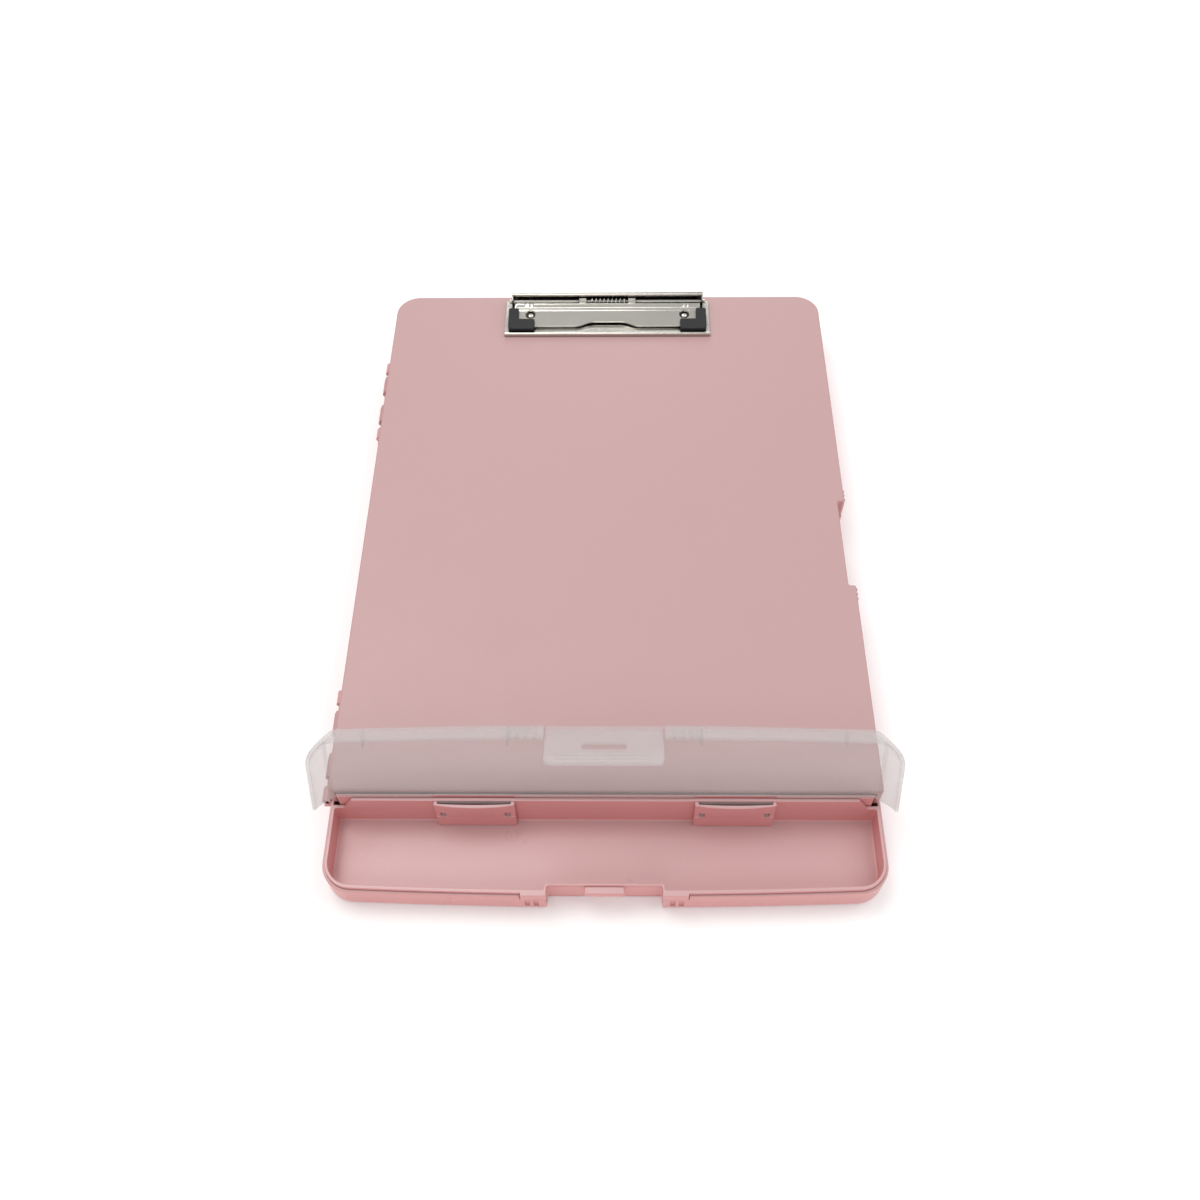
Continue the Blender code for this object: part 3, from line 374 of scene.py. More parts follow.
@dataclass(frozen=True)
class PlatedSteel:
    """Bright plated sheet steel with hairline scratches, painted darker in its hollows where shade falls.

    Attributes:
        name: The material's name.
        colour: Linear reflectance.
        smooth: Lowest roughness.
        rough: Highest roughness.
    """

    name: str
    colour: Colour
    smooth: float
    rough: float

    def build(self, effects: Effects) -> bpy.types.Material:
        """Returns the material made from the shared groups."""
        graph = MaterialGraph(self.name, effects)
        marks = graph.group(effects.handling, Smooth=self.smooth, Rough=self.rough)
        worn = graph.group(effects.edges, Reach=0.0005)
        dull = tuple(part * 0.82 for part in self.colour)
        bright = tuple(min(1.0, part * 1.2) for part in self.colour)
        scuffed = graph.blend(
            graph.maths("MULTIPLY", marks.outputs["Scuffs"], 0.5), (*self.colour, 1.0), (*dull, 1.0)
        )
        shined = graph.blend(worn.outputs["Mask"], scuffed, (*bright, 1.0))
        # Painted shade: the colour goes nearly black where the surface is closed in within 6 mm, as in the slot under
        # the roll and under the jaw, where shade falls.
        hollow_ao = graph.add("ShaderNodeAmbientOcclusion", {"Distance": 0.006}, samples=8).outputs["AO"]
        depth = graph.remap(hollow_ao, 0.25, 0.8, 1.0, 0.0)
        painted_shade_colour = tuple(part * 0.12 for part in self.colour)
        graph.feed("Base Color", graph.blend(depth, shined, (*painted_shade_colour, 1.0)))
        graph.feed("Roughness", marks.outputs["Roughness"])
        hairs = graph.add("ShaderNodeMapping", {"Vector": graph.place, "Scale": (1.0, 60.0, 60.0)}).outputs[0]
        graph.bump(graph.noise(hairs, 40.0, 3.0, 0.7), 0.00003, 0.4)
        graph.fix(Metallic=1.0)
        return graph.material


FINISHES: dict[Slot, MouldedPlastic | FrostedFilm | PlatedSteel] = {
    # The third colour of each moulded plastic is painted on its faces that look up, a painted paler top where the
    # light falls.
    Slot.BOARD: MouldedPlastic(
        "board_plastic", (0.55, 0.27, 0.265), (0.53, 0.255, 0.25), (0.49, 0.31, 0.307),
        0.42, 0.55, 2600.0, 0.00005,
    ),
    Slot.CASE: MouldedPlastic(
        "case_plastic", (0.70, 0.30, 0.295), (0.68, 0.285, 0.28), (0.58, 0.355, 0.355),
        0.27, 0.3, 1500.0, 0.00001,
    ),
    Slot.CLEAR: FrostedFilm("clear_plastic", (0.54, 0.51, 0.50), 0.13, 0.68),
    Slot.STEEL: PlatedSteel("plated_steel", (0.68, 0.66, 0.6), 0.14, 0.24),
    Slot.GUARD: MouldedPlastic(
        "guard_plastic", (0.007, 0.007, 0.009), (0.006, 0.006, 0.007), (0.009, 0.009, 0.011),
        0.6, 0.7, 2200.0, 0.00003, 0.0,
    ),
}


# ---------------------------------------------------------------- mesh tools


def arc(centre: Point, radius: float, start: float, end: float, steps: int) -> list[Point]:
    """Returns points on an arc.

    Args:
        centre: The arc's centre in its plane.
        radius: The arc's radius.
        start: First angle in degrees.
        end: Last angle in degrees.
        steps: Number of chords.
    """
    angles = [math.radians(start + (end - start) * i / steps) for i in range(steps + 1)]
    return [(centre[0] + radius * math.cos(a), centre[1] + radius * math.sin(a)) for a in angles]


def fillet(
    corner: Point, arriving: tuple[int, int], leaving: tuple[int, int], radius: float, steps: int = 4
) -> list[Point]:
    """Returns the arc that rounds a square corner.

    Args:
        corner: The sharp corner.
        arriving: Unit direction of the edge that ends there.
        leaving: Unit direction of the edge that starts there.
        radius: The arc's radius.
        steps: Number of chords.
    """
    centre = [corner[i] + radius * (leaving[i] - arriving[i]) for i in (0, 1)]
    turns = [math.pi / 2 * i / steps for i in range(steps + 1)]
    return [
        tuple(centre[i] + radius * (arriving[i] * math.sin(t) - leaving[i] * math.cos(t)) for i in (0, 1))
        for t in turns
    ]


def loft(name: str, rings: Sequence[Ring]) -> Mesh:
    """Returns a closed mesh through rings of equal count, capped at both ends.

    Args:
        name: The mesh's name.
        rings: Anticlockwise rings seen from above, from the underside round to the inside.
    """
    work = bmesh.new()
    rows = [[work.verts.new(point) for point in ring] for ring in rings]
    count = len(rows[0])
    for lower, upper in zip(rows, rows[1:]):
        for index in range(count):
            after = (index + 1) % count
            work.faces.new((lower[index], lower[after], upper[after], upper[index]))
    work.faces.new(rows[0][::-1])
    work.faces.new(rows[-1])
    return to_mesh(name, work)


def to_mesh(name: str, work: bmesh.types.BMesh) -> Mesh:
    """Writes a bmesh to a new mesh and frees it."""
    mesh = bpy.data.meshes.new(name)
    work.to_mesh(mesh)
    work.free()
    return mesh


def bar(name: str, section: Sequence[Point], start: float, end: float) -> Mesh:
    """Returns a closed bar along X with a section in the YZ plane.

    Args:
        name: The mesh's name.
        section: (y, z) points, anticlockwise seen from +X.
        start: Lowest x.
        end: Highest x.
    """
    work = bmesh.new()
    near = [work.verts.new((start, y, z)) for y, z in section]
    far = [work.verts.new((end, y, z)) for y, z in section]
    for index in range(len(section)):
        after = (index + 1) % len(section)
        work.faces.new((near[index], near[after], far[after], far[index]))
    work.faces.new(near[::-1])
    work.faces.new(far)
    bmesh.ops.recalc_face_normals(work, faces=work.faces)
    return to_mesh(name, work)


def block(
    name: str, low: Sequence[float], high: Sequence[float], rounding: float = 0.0, segments: int = 3
) -> Mesh:
    """Returns a box between two corners.

    Args:
        name: The mesh's name.
        low: Its lowest corner.
        high: Its highest corner.
        rounding: Radius of its edges.
        segments: Steps of that rounding.
    """
    work = bmesh.new()
    bmesh.ops.create_cube(work, size=1.0)
    bmesh.ops.scale(work, vec=Vector(high) - Vector(low), verts=work.verts)
    bmesh.ops.translate(work, vec=(Vector(high) + Vector(low)) / 2, verts=work.verts)
    if rounding:
        bmesh.ops.bevel(
            work, geom=work.edges[:], offset=rounding, segments=segments, profile=0.5, affect="EDGES"
        )
    return to_mesh(name, work)


def merged(name: str, meshes: Sequence[Mesh]) -> Mesh:
    """Joins several closed meshes.

    Args:
        name: The new mesh's name.
        meshes: The meshes, which are removed.

    Returns:
        One mesh that holds them all.
    """
    work = bmesh.new()
    for mesh in meshes:
        work.from_mesh(mesh)
        bpy.data.meshes.remove(mesh)
    return to_mesh(name, work)


def linked(name: str, data: Any) -> bpy.types.Object:
    """Returns a new object in the scene."""
    obj = bpy.data.objects.new(name, data)
    bpy.context.scene.collection.objects.link(obj)
    return obj


def settled(host: bpy.types.Object, helpers: Sequence[bpy.types.Object] = ()) -> Mesh:
    """Turns an object with modifiers into a plain mesh.

    Args:
        host: The object, which is removed.
        helpers: Objects that its modifiers read, which are removed too.

    Returns:
        The evaluated mesh.
    """
    graph = bpy.context.evaluated_depsgraph_get()
    mesh = bpy.data.meshes.new_from_object(host.evaluated_get(graph))
    for obj in (host, *helpers):
        data = obj.data
        bpy.data.objects.remove(obj)
        bpy.data.meshes.remove(data)
    return mesh


def thickened(name: str, sheet: Mesh, thickness: float, offset: float) -> Mesh:
    """Gives an open sheet its wall thickness.

    Args:
        name: The new mesh's name.
        sheet: The open sheet, which is removed.
        thickness: The wall's thickness.
        offset: -1 for inwards, 0 for both ways.

    Returns:
        The closed mesh.
    """
    host = linked(name + "_host", sheet)
    wall = host.modifiers.new("wall", "SOLIDIFY")
    wall.thickness = thickness
    wall.offset = offset
    wall.use_even_offset = True
    mesh = settled(host)
    mesh.name = name
    return mesh


def plate(name: str, outline: Sequence[Point], near: float, depth: float) -> Mesh:
    """Returns an upright plate with an outline in the XZ plane.

    Args:
        name: The mesh's name.
        outline: Its (x, z) points.
        near: Lowest y.
        depth: Thickness along y.
    """
    work = bmesh.new()
    face = work.faces.new([work.verts.new((x, near, z)) for x, z in outline])
    made = bmesh.ops.extrude_face_region(work, geom=[face])
    moved = [item for item in made["geom"] if isinstance(item, bmesh.types.BMVert)]
    bmesh.ops.translate(work, vec=(0.0, depth, 0.0), verts=moved)
    bmesh.ops.recalc_face_normals(work, faces=work.faces)
    return to_mesh(name, work)


def carved(mesh: Mesh, steps: Cuts) -> Mesh:
    """Returns a mesh after exact Boolean steps.

    Args:
        mesh: The closed mesh to start from.
        steps: (operation, closed mesh) pairs, run in order.

    Returns:
        A new mesh; the ones passed in are removed.
    """
    name = mesh.name
    host = linked(name + "_work", mesh)
    helpers = []
    for operation, other in steps:
        helpers.append(linked(other.name + "_helper", other))
        modifier = host.modifiers.new(other.name, "BOOLEAN")
        modifier.operation = operation
        modifier.solver = "EXACT"
        modifier.object = helpers[-1]
    result = settled(host, helpers)
    work = bmesh.new()
    work.from_mesh(result)
    bmesh.ops.remove_doubles(work, verts=work.verts, dist=MERGE)
    work.to_mesh(result)
    work.free()
    result.name = name
    return result


class Workshop:
    """Turns finished meshes into pieces of the model: material, edge rounding, body, slot and stand-ins."""

    def __init__(self) -> None:
        """Builds the finishes."""
        effects = Effects()
        self.materials = {slot: finish.build(effects) for slot, finish in FINISHES.items()}

    def piece(
        self,
        name: str,
        mesh: Mesh,
        body: Body,
        slot: Slot,
        stands_for: Sequence[str] = (),
        rounding: float = 0.0,
        angle: float = 35.0,
    ) -> bpy.types.Object:
        """Makes one piece of the model.

        Args:
            name: The piece's name.
            mesh: Its finished mesh, in place.
            body: The body that it rides on.
            slot: Its finish.
            stands_for: CAD nodes that it replaces.
            rounding: Width of a live bevel on its sharp edges.
            angle: Angle in degrees past which an edge stays sharp.

        Returns:
            The new object.
        """
        mesh.name = name
        mesh.materials.clear()
        mesh.materials.append(self.materials[slot])
        mesh.shade_smooth()
        obj = linked(name, mesh)
        if rounding:
            bevel = obj.modifiers.new("rounded_edges", "BEVEL")
            bevel.width = rounding
            bevel.segments = 2
            bevel.limit_method = "ANGLE"
            bevel.angle_limit = math.radians(angle)
        else:
            mesh.set_sharp_from_angle(angle=math.radians(angle))
        normals = obj.modifiers.new("flat_faces", "WEIGHTED_NORMAL")
        normals.keep_sharp = True
        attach(obj, body.value)
        if stands_for:
            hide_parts(*stands_for)
        LOG.info("%s rides on %s: %d faces, %s", name, body.value, len(mesh.polygons), slot.value)
        return obj

    def dress(self, node: str, slot: Slot) -> None:
        """Gives a CAD node that keeps its shape the finish of a slot.

        Args:
            node: The node's name.
            slot: Its finish.
        """
        obj = frame["nodes"][node]
        obj.data.materials.clear()
        obj.data.materials.append(self.materials[slot])
        LOG.info("%s keeps its CAD shape: %s", node, slot.value)


# ---------------------------------------------------------------- geometry trees


class GeometryTree(Graph):
    """A Geometry Nodes tree with named inputs, which can be run into a plain mesh."""

    def __init__(self, name: str, inputs: dict[str, str]) -> None:
        """Makes the tree, its sockets and its last two nodes.

        Args:
            name: The tree's name.
            inputs: Socket type of each input by name, without the NodeSocket prefix.
        """
        super().__init__(bpy.data.node_groups.new(name, "GeometryNodeTree"))
        interface = self.tree.interface
        interface.new_socket(name="Geometry", in_out="OUTPUT", socket_type="NodeSocketGeometry")
        self.identifiers: dict[str, str] = {}
        for label, kind in {**inputs, "Finish": "Material"}.items():
            socket = interface.new_socket(name=label, in_out="INPUT", socket_type="NodeSocket" + kind)
            self.identifiers[label] = socket.identifier
        self.entry = self.add("NodeGroupInput").outputs
        self.exit = self.add("NodeGroupOutput")

    def close(self, geometry: Socket) -> None:
        """Ends the tree in Realize Instances and Set Material.

        Args:
            geometry: The socket with everything the tree makes.
        """
        real = self.add("GeometryNodeRealizeInstances", {0: geometry}).outputs[0]
        painted = self.add("GeometryNodeSetMaterial", {"Geometry": real, "Material": self.entry["Finish"]})
        self.tree.links.new(painted.outputs[0], self.exit.inputs["Geometry"])

    def line(self, count: Any, start: Any, step: Any) -> Socket:
        """Returns a row of points."""
        inputs = {"Count": count, "Start Location": start, "Offset": step}
        return self.add("GeometryNodeMeshLine", inputs, mode="OFFSET").outputs[0]

    def placed(self, geometry: Any, shift: Any = None, turn: Sequence[float] | None = None) -> Socket:
        """Returns a geometry moved and turned.

        Args:
            geometry: The socket to move.
            shift: A vector, or a socket that gives one.
            turn: Angles about X, Y and Z.
        """
        node = self.add("GeometryNodeTransform", {"Geometry": geometry})
        if isinstance(shift, Socket):
            self.tree.links.new(shift, node.inputs["Translation"])
        elif shift:
            node.inputs["Translation"].default_value = shift
        if turn:
            node.inputs["Rotation"].default_value = turn
        return node.outputs[0]

    def cylinder(self, sides: int, radius: Any, depth: Any) -> Socket:
        """Returns an upright cylinder."""
        inputs = {"Vertices": sides, "Radius": radius, "Depth": depth}
        return self.add("GeometryNodeMeshCylinder", inputs).outputs[0]

    def joined(self, parts: Sequence[Socket]) -> Socket:
        """Returns several geometries as one."""
        node = self.add("GeometryNodeJoinGeometry")
        for part in parts:
            self.tree.links.new(part, node.inputs[0])
        return node.outputs[0]

    def on_points(self, points: Any, instance: Any) -> Socket:
        """Returns instances of a geometry on points."""
        return self.add("GeometryNodeInstanceOnPoints", {"Points": points, "Instance": instance}).outputs[0]

    def run(self, values: dict[str, Any], material: bpy.types.Material) -> Mesh:
        """Runs the tree on an empty mesh.

        Args:
            values: The inputs' values by name.
            material: The finish that the tree sets.

        Returns:
            The plain mesh it makes.
        """
        host = linked(self.tree.name, bpy.data.meshes.new(self.tree.name))
        modifier = host.modifiers.new("tree", "NODES")
        modifier.node_group = self.tree
        for label, value in {**values, "Finish": material}.items():
            modifier[self.identifiers[label]] = value
        return settled(host)


def block_row_tree() -> GeometryTree:
    """Returns the tree for a row of small blocks: ribs and gussets."""
    tree = GeometryTree("block_row", {"Count": "Int", "Start": "Vector", "Step": "Vector", "Size": "Vector"})
    points = tree.line(tree.entry["Count"], tree.entry["Start"], tree.entry["Step"])
    cube = tree.add("GeometryNodeMeshCube", {"Size": tree.entry["Size"]}).outputs[0]
    tree.close(tree.on_points(points, cube))
    return tree


def upright_row_tree() -> GeometryTree:
    """Returns the tree for a row of upright round ribs."""
    inputs = {"Count": "Int", "Start": "Vector", "Step": "Vector", "Radius": "Float", "Length": "Float"}
    tree = GeometryTree("upright_row", inputs)
    points = tree.line(tree.entry["Count"], tree.entry["Start"], tree.entry["Step"])
    rib = tree.cylinder(24, tree.entry["Radius"], tree.entry["Length"])
    tree.close(tree.on_points(points, rib))
    return tree


def knuckle_tree() -> GeometryTree:
    """Returns the tree for hinge knuckles: pairs of barrels and webs, repeated for each group."""
    inputs = {
        "Groups": "Vector", "Group Step": "Vector", "Pair Start": "Vector", "Pair Step": "Vector",
        "Radius": "Float", "Length": "Float", "Web Size": "Vector", "Web Shift": "Vector",
    }
    tree = GeometryTree("knuckles", inputs)
    groups = tree.line(2, tree.entry["Groups"], tree.entry["Group Step"])
    pair = tree.line(2, tree.entry["Pair Start"], tree.entry["Pair Step"])
    points = tree.add("GeometryNodeRealizeInstances", {0: tree.on_points(groups, pair)}).outputs[0]
    barrel = tree.cylinder(32, tree.entry["Radius"], tree.entry["Length"])
    lying = tree.placed(barrel, turn=(math.pi / 2, 0.0, 0.0))
    web = tree.add("GeometryNodeMeshCube", {"Size": tree.entry["Web Size"]}).outputs[0]
    shifted = tree.placed(web, shift=tree.entry["Web Shift"])
    tree.close(tree.on_points(points, tree.joined([lying, shifted])))
    return tree


def rivet_tree() -> GeometryTree:
    """Returns the tree for a row of rivets with domed heads, shanks and flat tails."""
    inputs = {
        "Start": "Vector", "Step": "Vector", "Head Radius": "Float", "Shank Radius": "Float",
        "Shank Length": "Float", "Shank Shift": "Vector", "Tail Shift": "Vector",
    }
    tree = GeometryTree("rivets", inputs)
    points = tree.line(2, tree.entry["Start"], tree.entry["Step"])
    ball = tree.add("GeometryNodeMeshUVSphere", {"Segments": 32, "Rings": 16, "Radius": tree.entry["Head Radius"]})
    squash = tree.add("GeometryNodeTransform", {"Geometry": ball.outputs[0], "Scale": (1.0, 1.0, 0.68)})
    shank = tree.placed(
        tree.cylinder(24, tree.entry["Shank Radius"], tree.entry["Shank Length"]), shift=tree.entry["Shank Shift"]
    )
    tail = tree.placed(tree.cylinder(24, tree.entry["Head Radius"], TAIL_DEPTH), shift=tree.entry["Tail Shift"])
    tree.close(tree.on_points(points, tree.joined([squash.outputs[0], shank, tail])))
    return tree


def coil_tree() -> GeometryTree:
    """Returns the tree for a close-wound coil along X, from a spiral swept with a round wire."""
    inputs = {"Turns": "Float", "Radius": "Float", "Length": "Float", "Wire": "Float", "Middle": "Vector"}
    tree = GeometryTree("coil", inputs)
    spiral = tree.add(
        "GeometryNodeCurveSpiral",
        {
            "Resolution": 24, "Rotations": tree.entry["Turns"], "Start Radius": tree.entry["Radius"],
            "End Radius": tree.entry["Radius"], "Height": tree.entry["Length"],
        },
    ).outputs[0]
    wire = tree.add("GeometryNodeCurvePrimitiveCircle", {"Resolution": 10, "Radius": tree.entry["Wire"]}).outputs[0]
    swept = tree.add(
        "GeometryNodeCurveToMesh", {"Curve": spiral, "Profile Curve": wire, "Fill Caps": True}
    ).outputs[0]
    half = tree.add("ShaderNodeMath", {0: tree.entry["Length"], 1: -0.5}, operation="MULTIPLY").outputs[0]
    centred = tree.placed(swept, shift=tree.add("ShaderNodeCombineXYZ", {2: half}).outputs[0])
    lying = tree.placed(centred, turn=(0.0, math.pi / 2, 0.0))
    tree.close(tree.placed(lying, shift=tree.entry["Middle"]))
    return tree


# ---------------------------------------------------------------- the case


def joint_place(name: str) -> Vector:
    """Returns the place of a joint of the frame."""
    return next(Vector(joint["pos_m"]) for joint in frame["joints"] if joint["name"] == name)


@dataclass(frozen=True)
class CaseOutline:
    """Outline of the case seen from above, and the rings that lie a distance inside it.

    Attributes:
        half: Half width.
        front: Lowest y, at the middle of the bowed front edge.
        rear: Highest y.
        front_radius: Radius of the front corners.
        rear_radius: Radius of the rear corners.
        bow: How far the front edge's ends lie behind its middle.
        notch: Low y, high y and depth of the finger notch in the right-hand side.
        recess: Half width and back face y of the thumb recess in the front edge.
        soft: Radius of the notch's and the recess's own corners.
    """

    half: float
    front: float
    rear: float
    front_radius: float
    rear_radius: float
    bow: float = 0.0
    notch: tuple[float, float, float] | None = None
    recess: tuple[float, float] | None = None
    soft: float = 0.001

    def _front_points(self, inset: float, inner: float, half: float) -> list[Point]:
        """Returns the front edge from left to right, with the recess where there is one.

        Args:
            inset: Distance inside the outline.
            inner: X at which the corner's arc begins.
            half: Half width at this inset.
        """
        steps = 24

        def edge(x: float) -> float:
            return self.front + inset + self.bow * (x / half) ** 2

        xs = [inner * (2 * i / steps - 1) for i in range(steps + 1)][1:-1]
        if not self.recess:
            return [(x, edge(x)) for x in xs]
        side = self.recess[0] + inset
        face = self.recess[1] + inset
        tight = max(self.soft - inset, SLIVER)
        wide = self.soft + inset
        clear = self.recess[0] + 2 * self.soft + 0.005
        left = [(x, edge(x)) for x in xs if x < -clear]
        left += fillet((-side, edge(side)), (1, 0), (0, 1), tight)
        left += fillet((-side, face), (0, 1), (1, 0), wide)
        return left + [(-x, y) for x, y in reversed(left)]

    def _notch_points(self, inset: float, half: float) -> list[Point]:
        """Returns the right-hand side's stretch round the finger notch.

        Args:
            inset: Distance inside the outline.
            half: Half width at this inset.
        """
        if not self.notch:
            return []
        low, high, depth = self.notch[0] - inset, self.notch[1] + inset, half - self.notch[2]
        tight = max(self.soft - inset, SLIVER)
        wide = self.soft + inset
        points = fillet((half, low), (0, 1), (-1, 0), tight)
        points += fillet((depth, low), (-1, 0), (0, 1), wide)
        points += fillet((depth, high), (0, 1), (1, 0), wide)
        return points + fillet((half, high), (1, 0), (0, 1), tight)

    def ring(self, inset: float, height: float) -> Ring:
        """Returns the anticlockwise ring at an inset and a height.

        Args:
            inset: Distance inside the outline.
            height: The ring's z.
        """
        half = self.half - inset
        front_radius = max(self.front_radius - inset, SLIVER)
        rear_radius = max(self.rear_radius - inset, SLIVER)
        rear = self.rear - inset
        inner = half - front_radius
        corner_y = self.front + inset + self.bow * (inner / half) ** 2 + front_radius
        points = arc((-inner, corner_y), front_radius, 180, 270, 12)
        points += self._front_points(inset, inner, half)
        points += arc((inner, corner_y), front_radius, 270, 360, 12)
        points += self._notch_points(inset, half)
        points += arc((half - rear_radius, rear - rear_radius), rear_radius, 0, 90, 12)
        points += arc((rear_radius - half, rear - rear_radius), rear_radius, 90, 180, 12)
        return [Vector((x, y, height)) for x, y in points]


def quarter(inset: float, height: float, radius: float, start: float, end: float, steps: int = 4) -> list[Point]:
    """Returns (inset, height) pairs on an arc of a shell's section, by its centre and its two angles."""
    return arc((inset, height), radius, start, end, steps)


@dataclass(frozen=True)
class CasePlaces:
    """Places that several sub-assemblies share, read from the frame."""

    half: float
    cover_half: float
    front: float
    rear: float
    top: float
    hinge: Vector
    lid_pivot: Vector
    rod: Vector
    board_edge: float
    tray_rear: float
    tray_low: float
    tray_wall_top: float
    tray_half: float
    notch: tuple[float, float, float] = (-0.02495, 0.02495, 0.0035)
    recess_half: float = 0.0242
    recess_face: float = -0.16805
    rim: float = 0.0165
    corner: float = 0.013
    bow: float = 0.0026
    wall: float = 0.0014
    block_depth: float = 0.0024

    @property
    def parting(self) -> float:
        """Height of the lower shell's rim, half a gap under the hinge line."""
        return self.hinge.z - GAP / 2

    @classmethod
    def read(cls) -> "CasePlaces":
        """Returns the places measured on the frame's nodes and joints."""
        base_low, base_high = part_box("storage_base")
        board_low, board_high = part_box("writing_board")
        tray_low, tray_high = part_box("pen_tray")
        return cls(
            half=base_high.x, cover_half=board_high.x, front=base_low.y, rear=base_high.y,
            top=board_high.z, hinge=joint_place("case_hinge"), lid_pivot=joint_place("pen_lid_hinge"),
            rod=joint_place("clip_jaw_hinge"), board_edge=board_low.y, tray_rear=tray_high.y,
            tray_low=tray_low.z, tray_wall_top=tray_high.z, tray_half=tray_high.x,
        )


@dataclass
class LowerShell:
    """Lower half of the case: an open box with a rounded bottom edge."""

    places: CasePlaces
    floor: float = 0.002
    bottom_round: float = 0.0025
    rim_round: float = 0.0004
    fillet_radius: float = 0.0018
    block_seat_half: float = 0.0353
    block_seat_z: float = 0.0112
    slot_width: float = 0.0021
    slot_pitch: float = 0.0037
    slot_from_recess: float = 0.0044
    slot_depth: float = 0.0009
    slot_low: float = 0.0035
    slot_high: float = 0.0103

    def shell(self) -> Mesh:
        """Returns the lofted box before it is cut."""
        at = self.places
        outline = CaseOutline(
            at.half, at.front, at.rear, at.corner, at.corner, at.bow, notch=at.notch
        )
        top, wall, rim = at.parting, at.wall, self.rim_round
        section = quarter(self.bottom_round, self.bottom_round, self.bottom_round, 270, 180, 6)
        section += quarter(rim, top - rim, rim, 180, 90, 3)
        section += quarter(wall - rim, top - rim, rim, 90, 0, 3)
        inner = self.fillet_radius
        section += quarter(wall + inner, self.floor + inner, inner, 180, 270, 5)
        return loft("storage_base", [outline.ring(inset, z) for inset, z in section])

    def cutters(self) -> Cuts:
        """Returns the thumb recess, the blocks' seat and the grip slots."""
        at = self.places
        reach = at.recess_half + GAP
        seat, outside, above = self.block_seat_half, at.front - 0.002, 0.03
        recess = block("recess_cut", (-reach, outside, -0.002), (reach, at.recess_face + 0.001, above))
        rest = block("seat_cut", (-seat, outside, self.block_seat_z), (seat, at.front + at.block_depth, above))
        steps = [("DIFFERENCE", recess), ("DIFFERENCE", rest)]
        for side in (-1, 1):
            for step in (0, 1):
                x = side * (at.recess_half + self.slot_from_recess + self.slot_pitch * step)
                low = (x - self.slot_width / 2, at.front - 0.001, self.slot_low)
                high = (x + self.slot_width / 2, at.front + self.slot_depth, self.slot_high)
                steps.append(("DIFFERENCE", block(f"grip_slot_{side}_{step}", low, high, 0.0003, 2)))
        return steps

    def build(self, shop: Workshop) -> None:
        """Builds and dresses the lower shell."""
        mesh = carved(self.shell(), self.cutters())
        shop.piece("lower_shell", mesh, Body.CASE, Slot.CASE, ["storage_base"], rounding=0.00015, angle=50)


@dataclass
class UpperShell:
    """Upper half of the case: the writing board and its skirt, open towards the pen tray."""

    places: CasePlaces
    board: float = 0.002
    baffle: float = 0.0006
    baffle_gap: float = 0.0003
    baffle_half: float = 0.1145
    baffle_low: float = 0.014
    edge_round: float = 0.0009
    skirt_round: float = 0.0004
    fillet_radius: float = 0.0012
    rear_inset: float = 0.0006
    rib_radius: float = 0.0007
    rib_pitch: float = 0.0026
    rib_count: int = 3

    def shell(self) -> Mesh:
        """Returns the lofted cover, from its inner ceiling round the skirt to the writing surface."""
        at = self.places
        outline = CaseOutline(
            at.cover_half, at.board_edge, at.rear - self.rear_inset, 0.0012, at.corner - self.rear_inset,
            notch=at.notch,
        )
        low, wall, skirt = at.parting + GAP, at.wall, self.skirt_round
        ceiling = at.top - self.board
        inner = self.fillet_radius
        section = quarter(wall + inner, ceiling - inner, inner, 90, 180, 4)
        section += quarter(wall - skirt, low + skirt, skirt, 0, -90, 3)
        section += quarter(skirt, low + skirt, skirt, 270, 180, 3)
        section += quarter(self.edge_round, at.top - self.edge_round, self.edge_round, 180, 90, 5)
        mesh = loft("writing_board", [outline.ring(inset, z) for inset, z in section])
        opening = block(
            "front_opening", (wall + inner - at.cover_half, at.board_edge - 0.002, low - 0.002),
            (at.cover_half - wall - inner, at.board_edge + wall + 2 * inner, ceiling - 0.00001),
        )
        return carved(mesh, [("DIFFERENCE", opening)])

    def notch_ribs(self, shop: Workshop) -> Mesh:
        """Returns the upright grip ribs beside both ends of the finger notch.

        Args:
            shop: Holds the finishes.
        """
        at = self.places
        tree = upright_row_tree()
        low = at.parting + GAP + 0.0006
        high = at.top - self.edge_round
        length = high - low
        rows = []
        for start, sign in ((at.notch[0], -1), (at.notch[1], 1)):
            first = start + sign * (self.rib_pitch * 0.75)
            place = (at.cover_half - 0.0001, first, low + length / 2)
            values = {
                "Count": self.rib_count, "Start": place, "Step": (0.0, sign * self.rib_pitch, 0.0),
                "Radius": self.rib_radius, "Length": length,
            }
            rows.append(tree.run(values, shop.materials[Slot.BOARD]))
        return merged("notch_grip_ribs", rows)

    def build(self, shop: Workshop) -> None:
        """Builds and dresses the writing board and its grip ribs."""
        shop.piece(
            "writing_surface", self.shell(), Body.COVER, Slot.BOARD, ["writing_board"], rounding=0.00012, angle=50
        )
        shop.piece("notch_grip_ribs", self.notch_ribs(shop), Body.COVER, Slot.BOARD, rounding=0.0002)
        low = (-self.baffle_half, self.places.tray_rear + self.baffle_gap, self.baffle_low)
        high = (self.baffle_half, low[1] + self.baffle, self.places.top - self.board / 2)
        shop.piece("front_baffle", block("front_baffle", low, high), Body.COVER, Slot.CASE, rounding=0.0001)


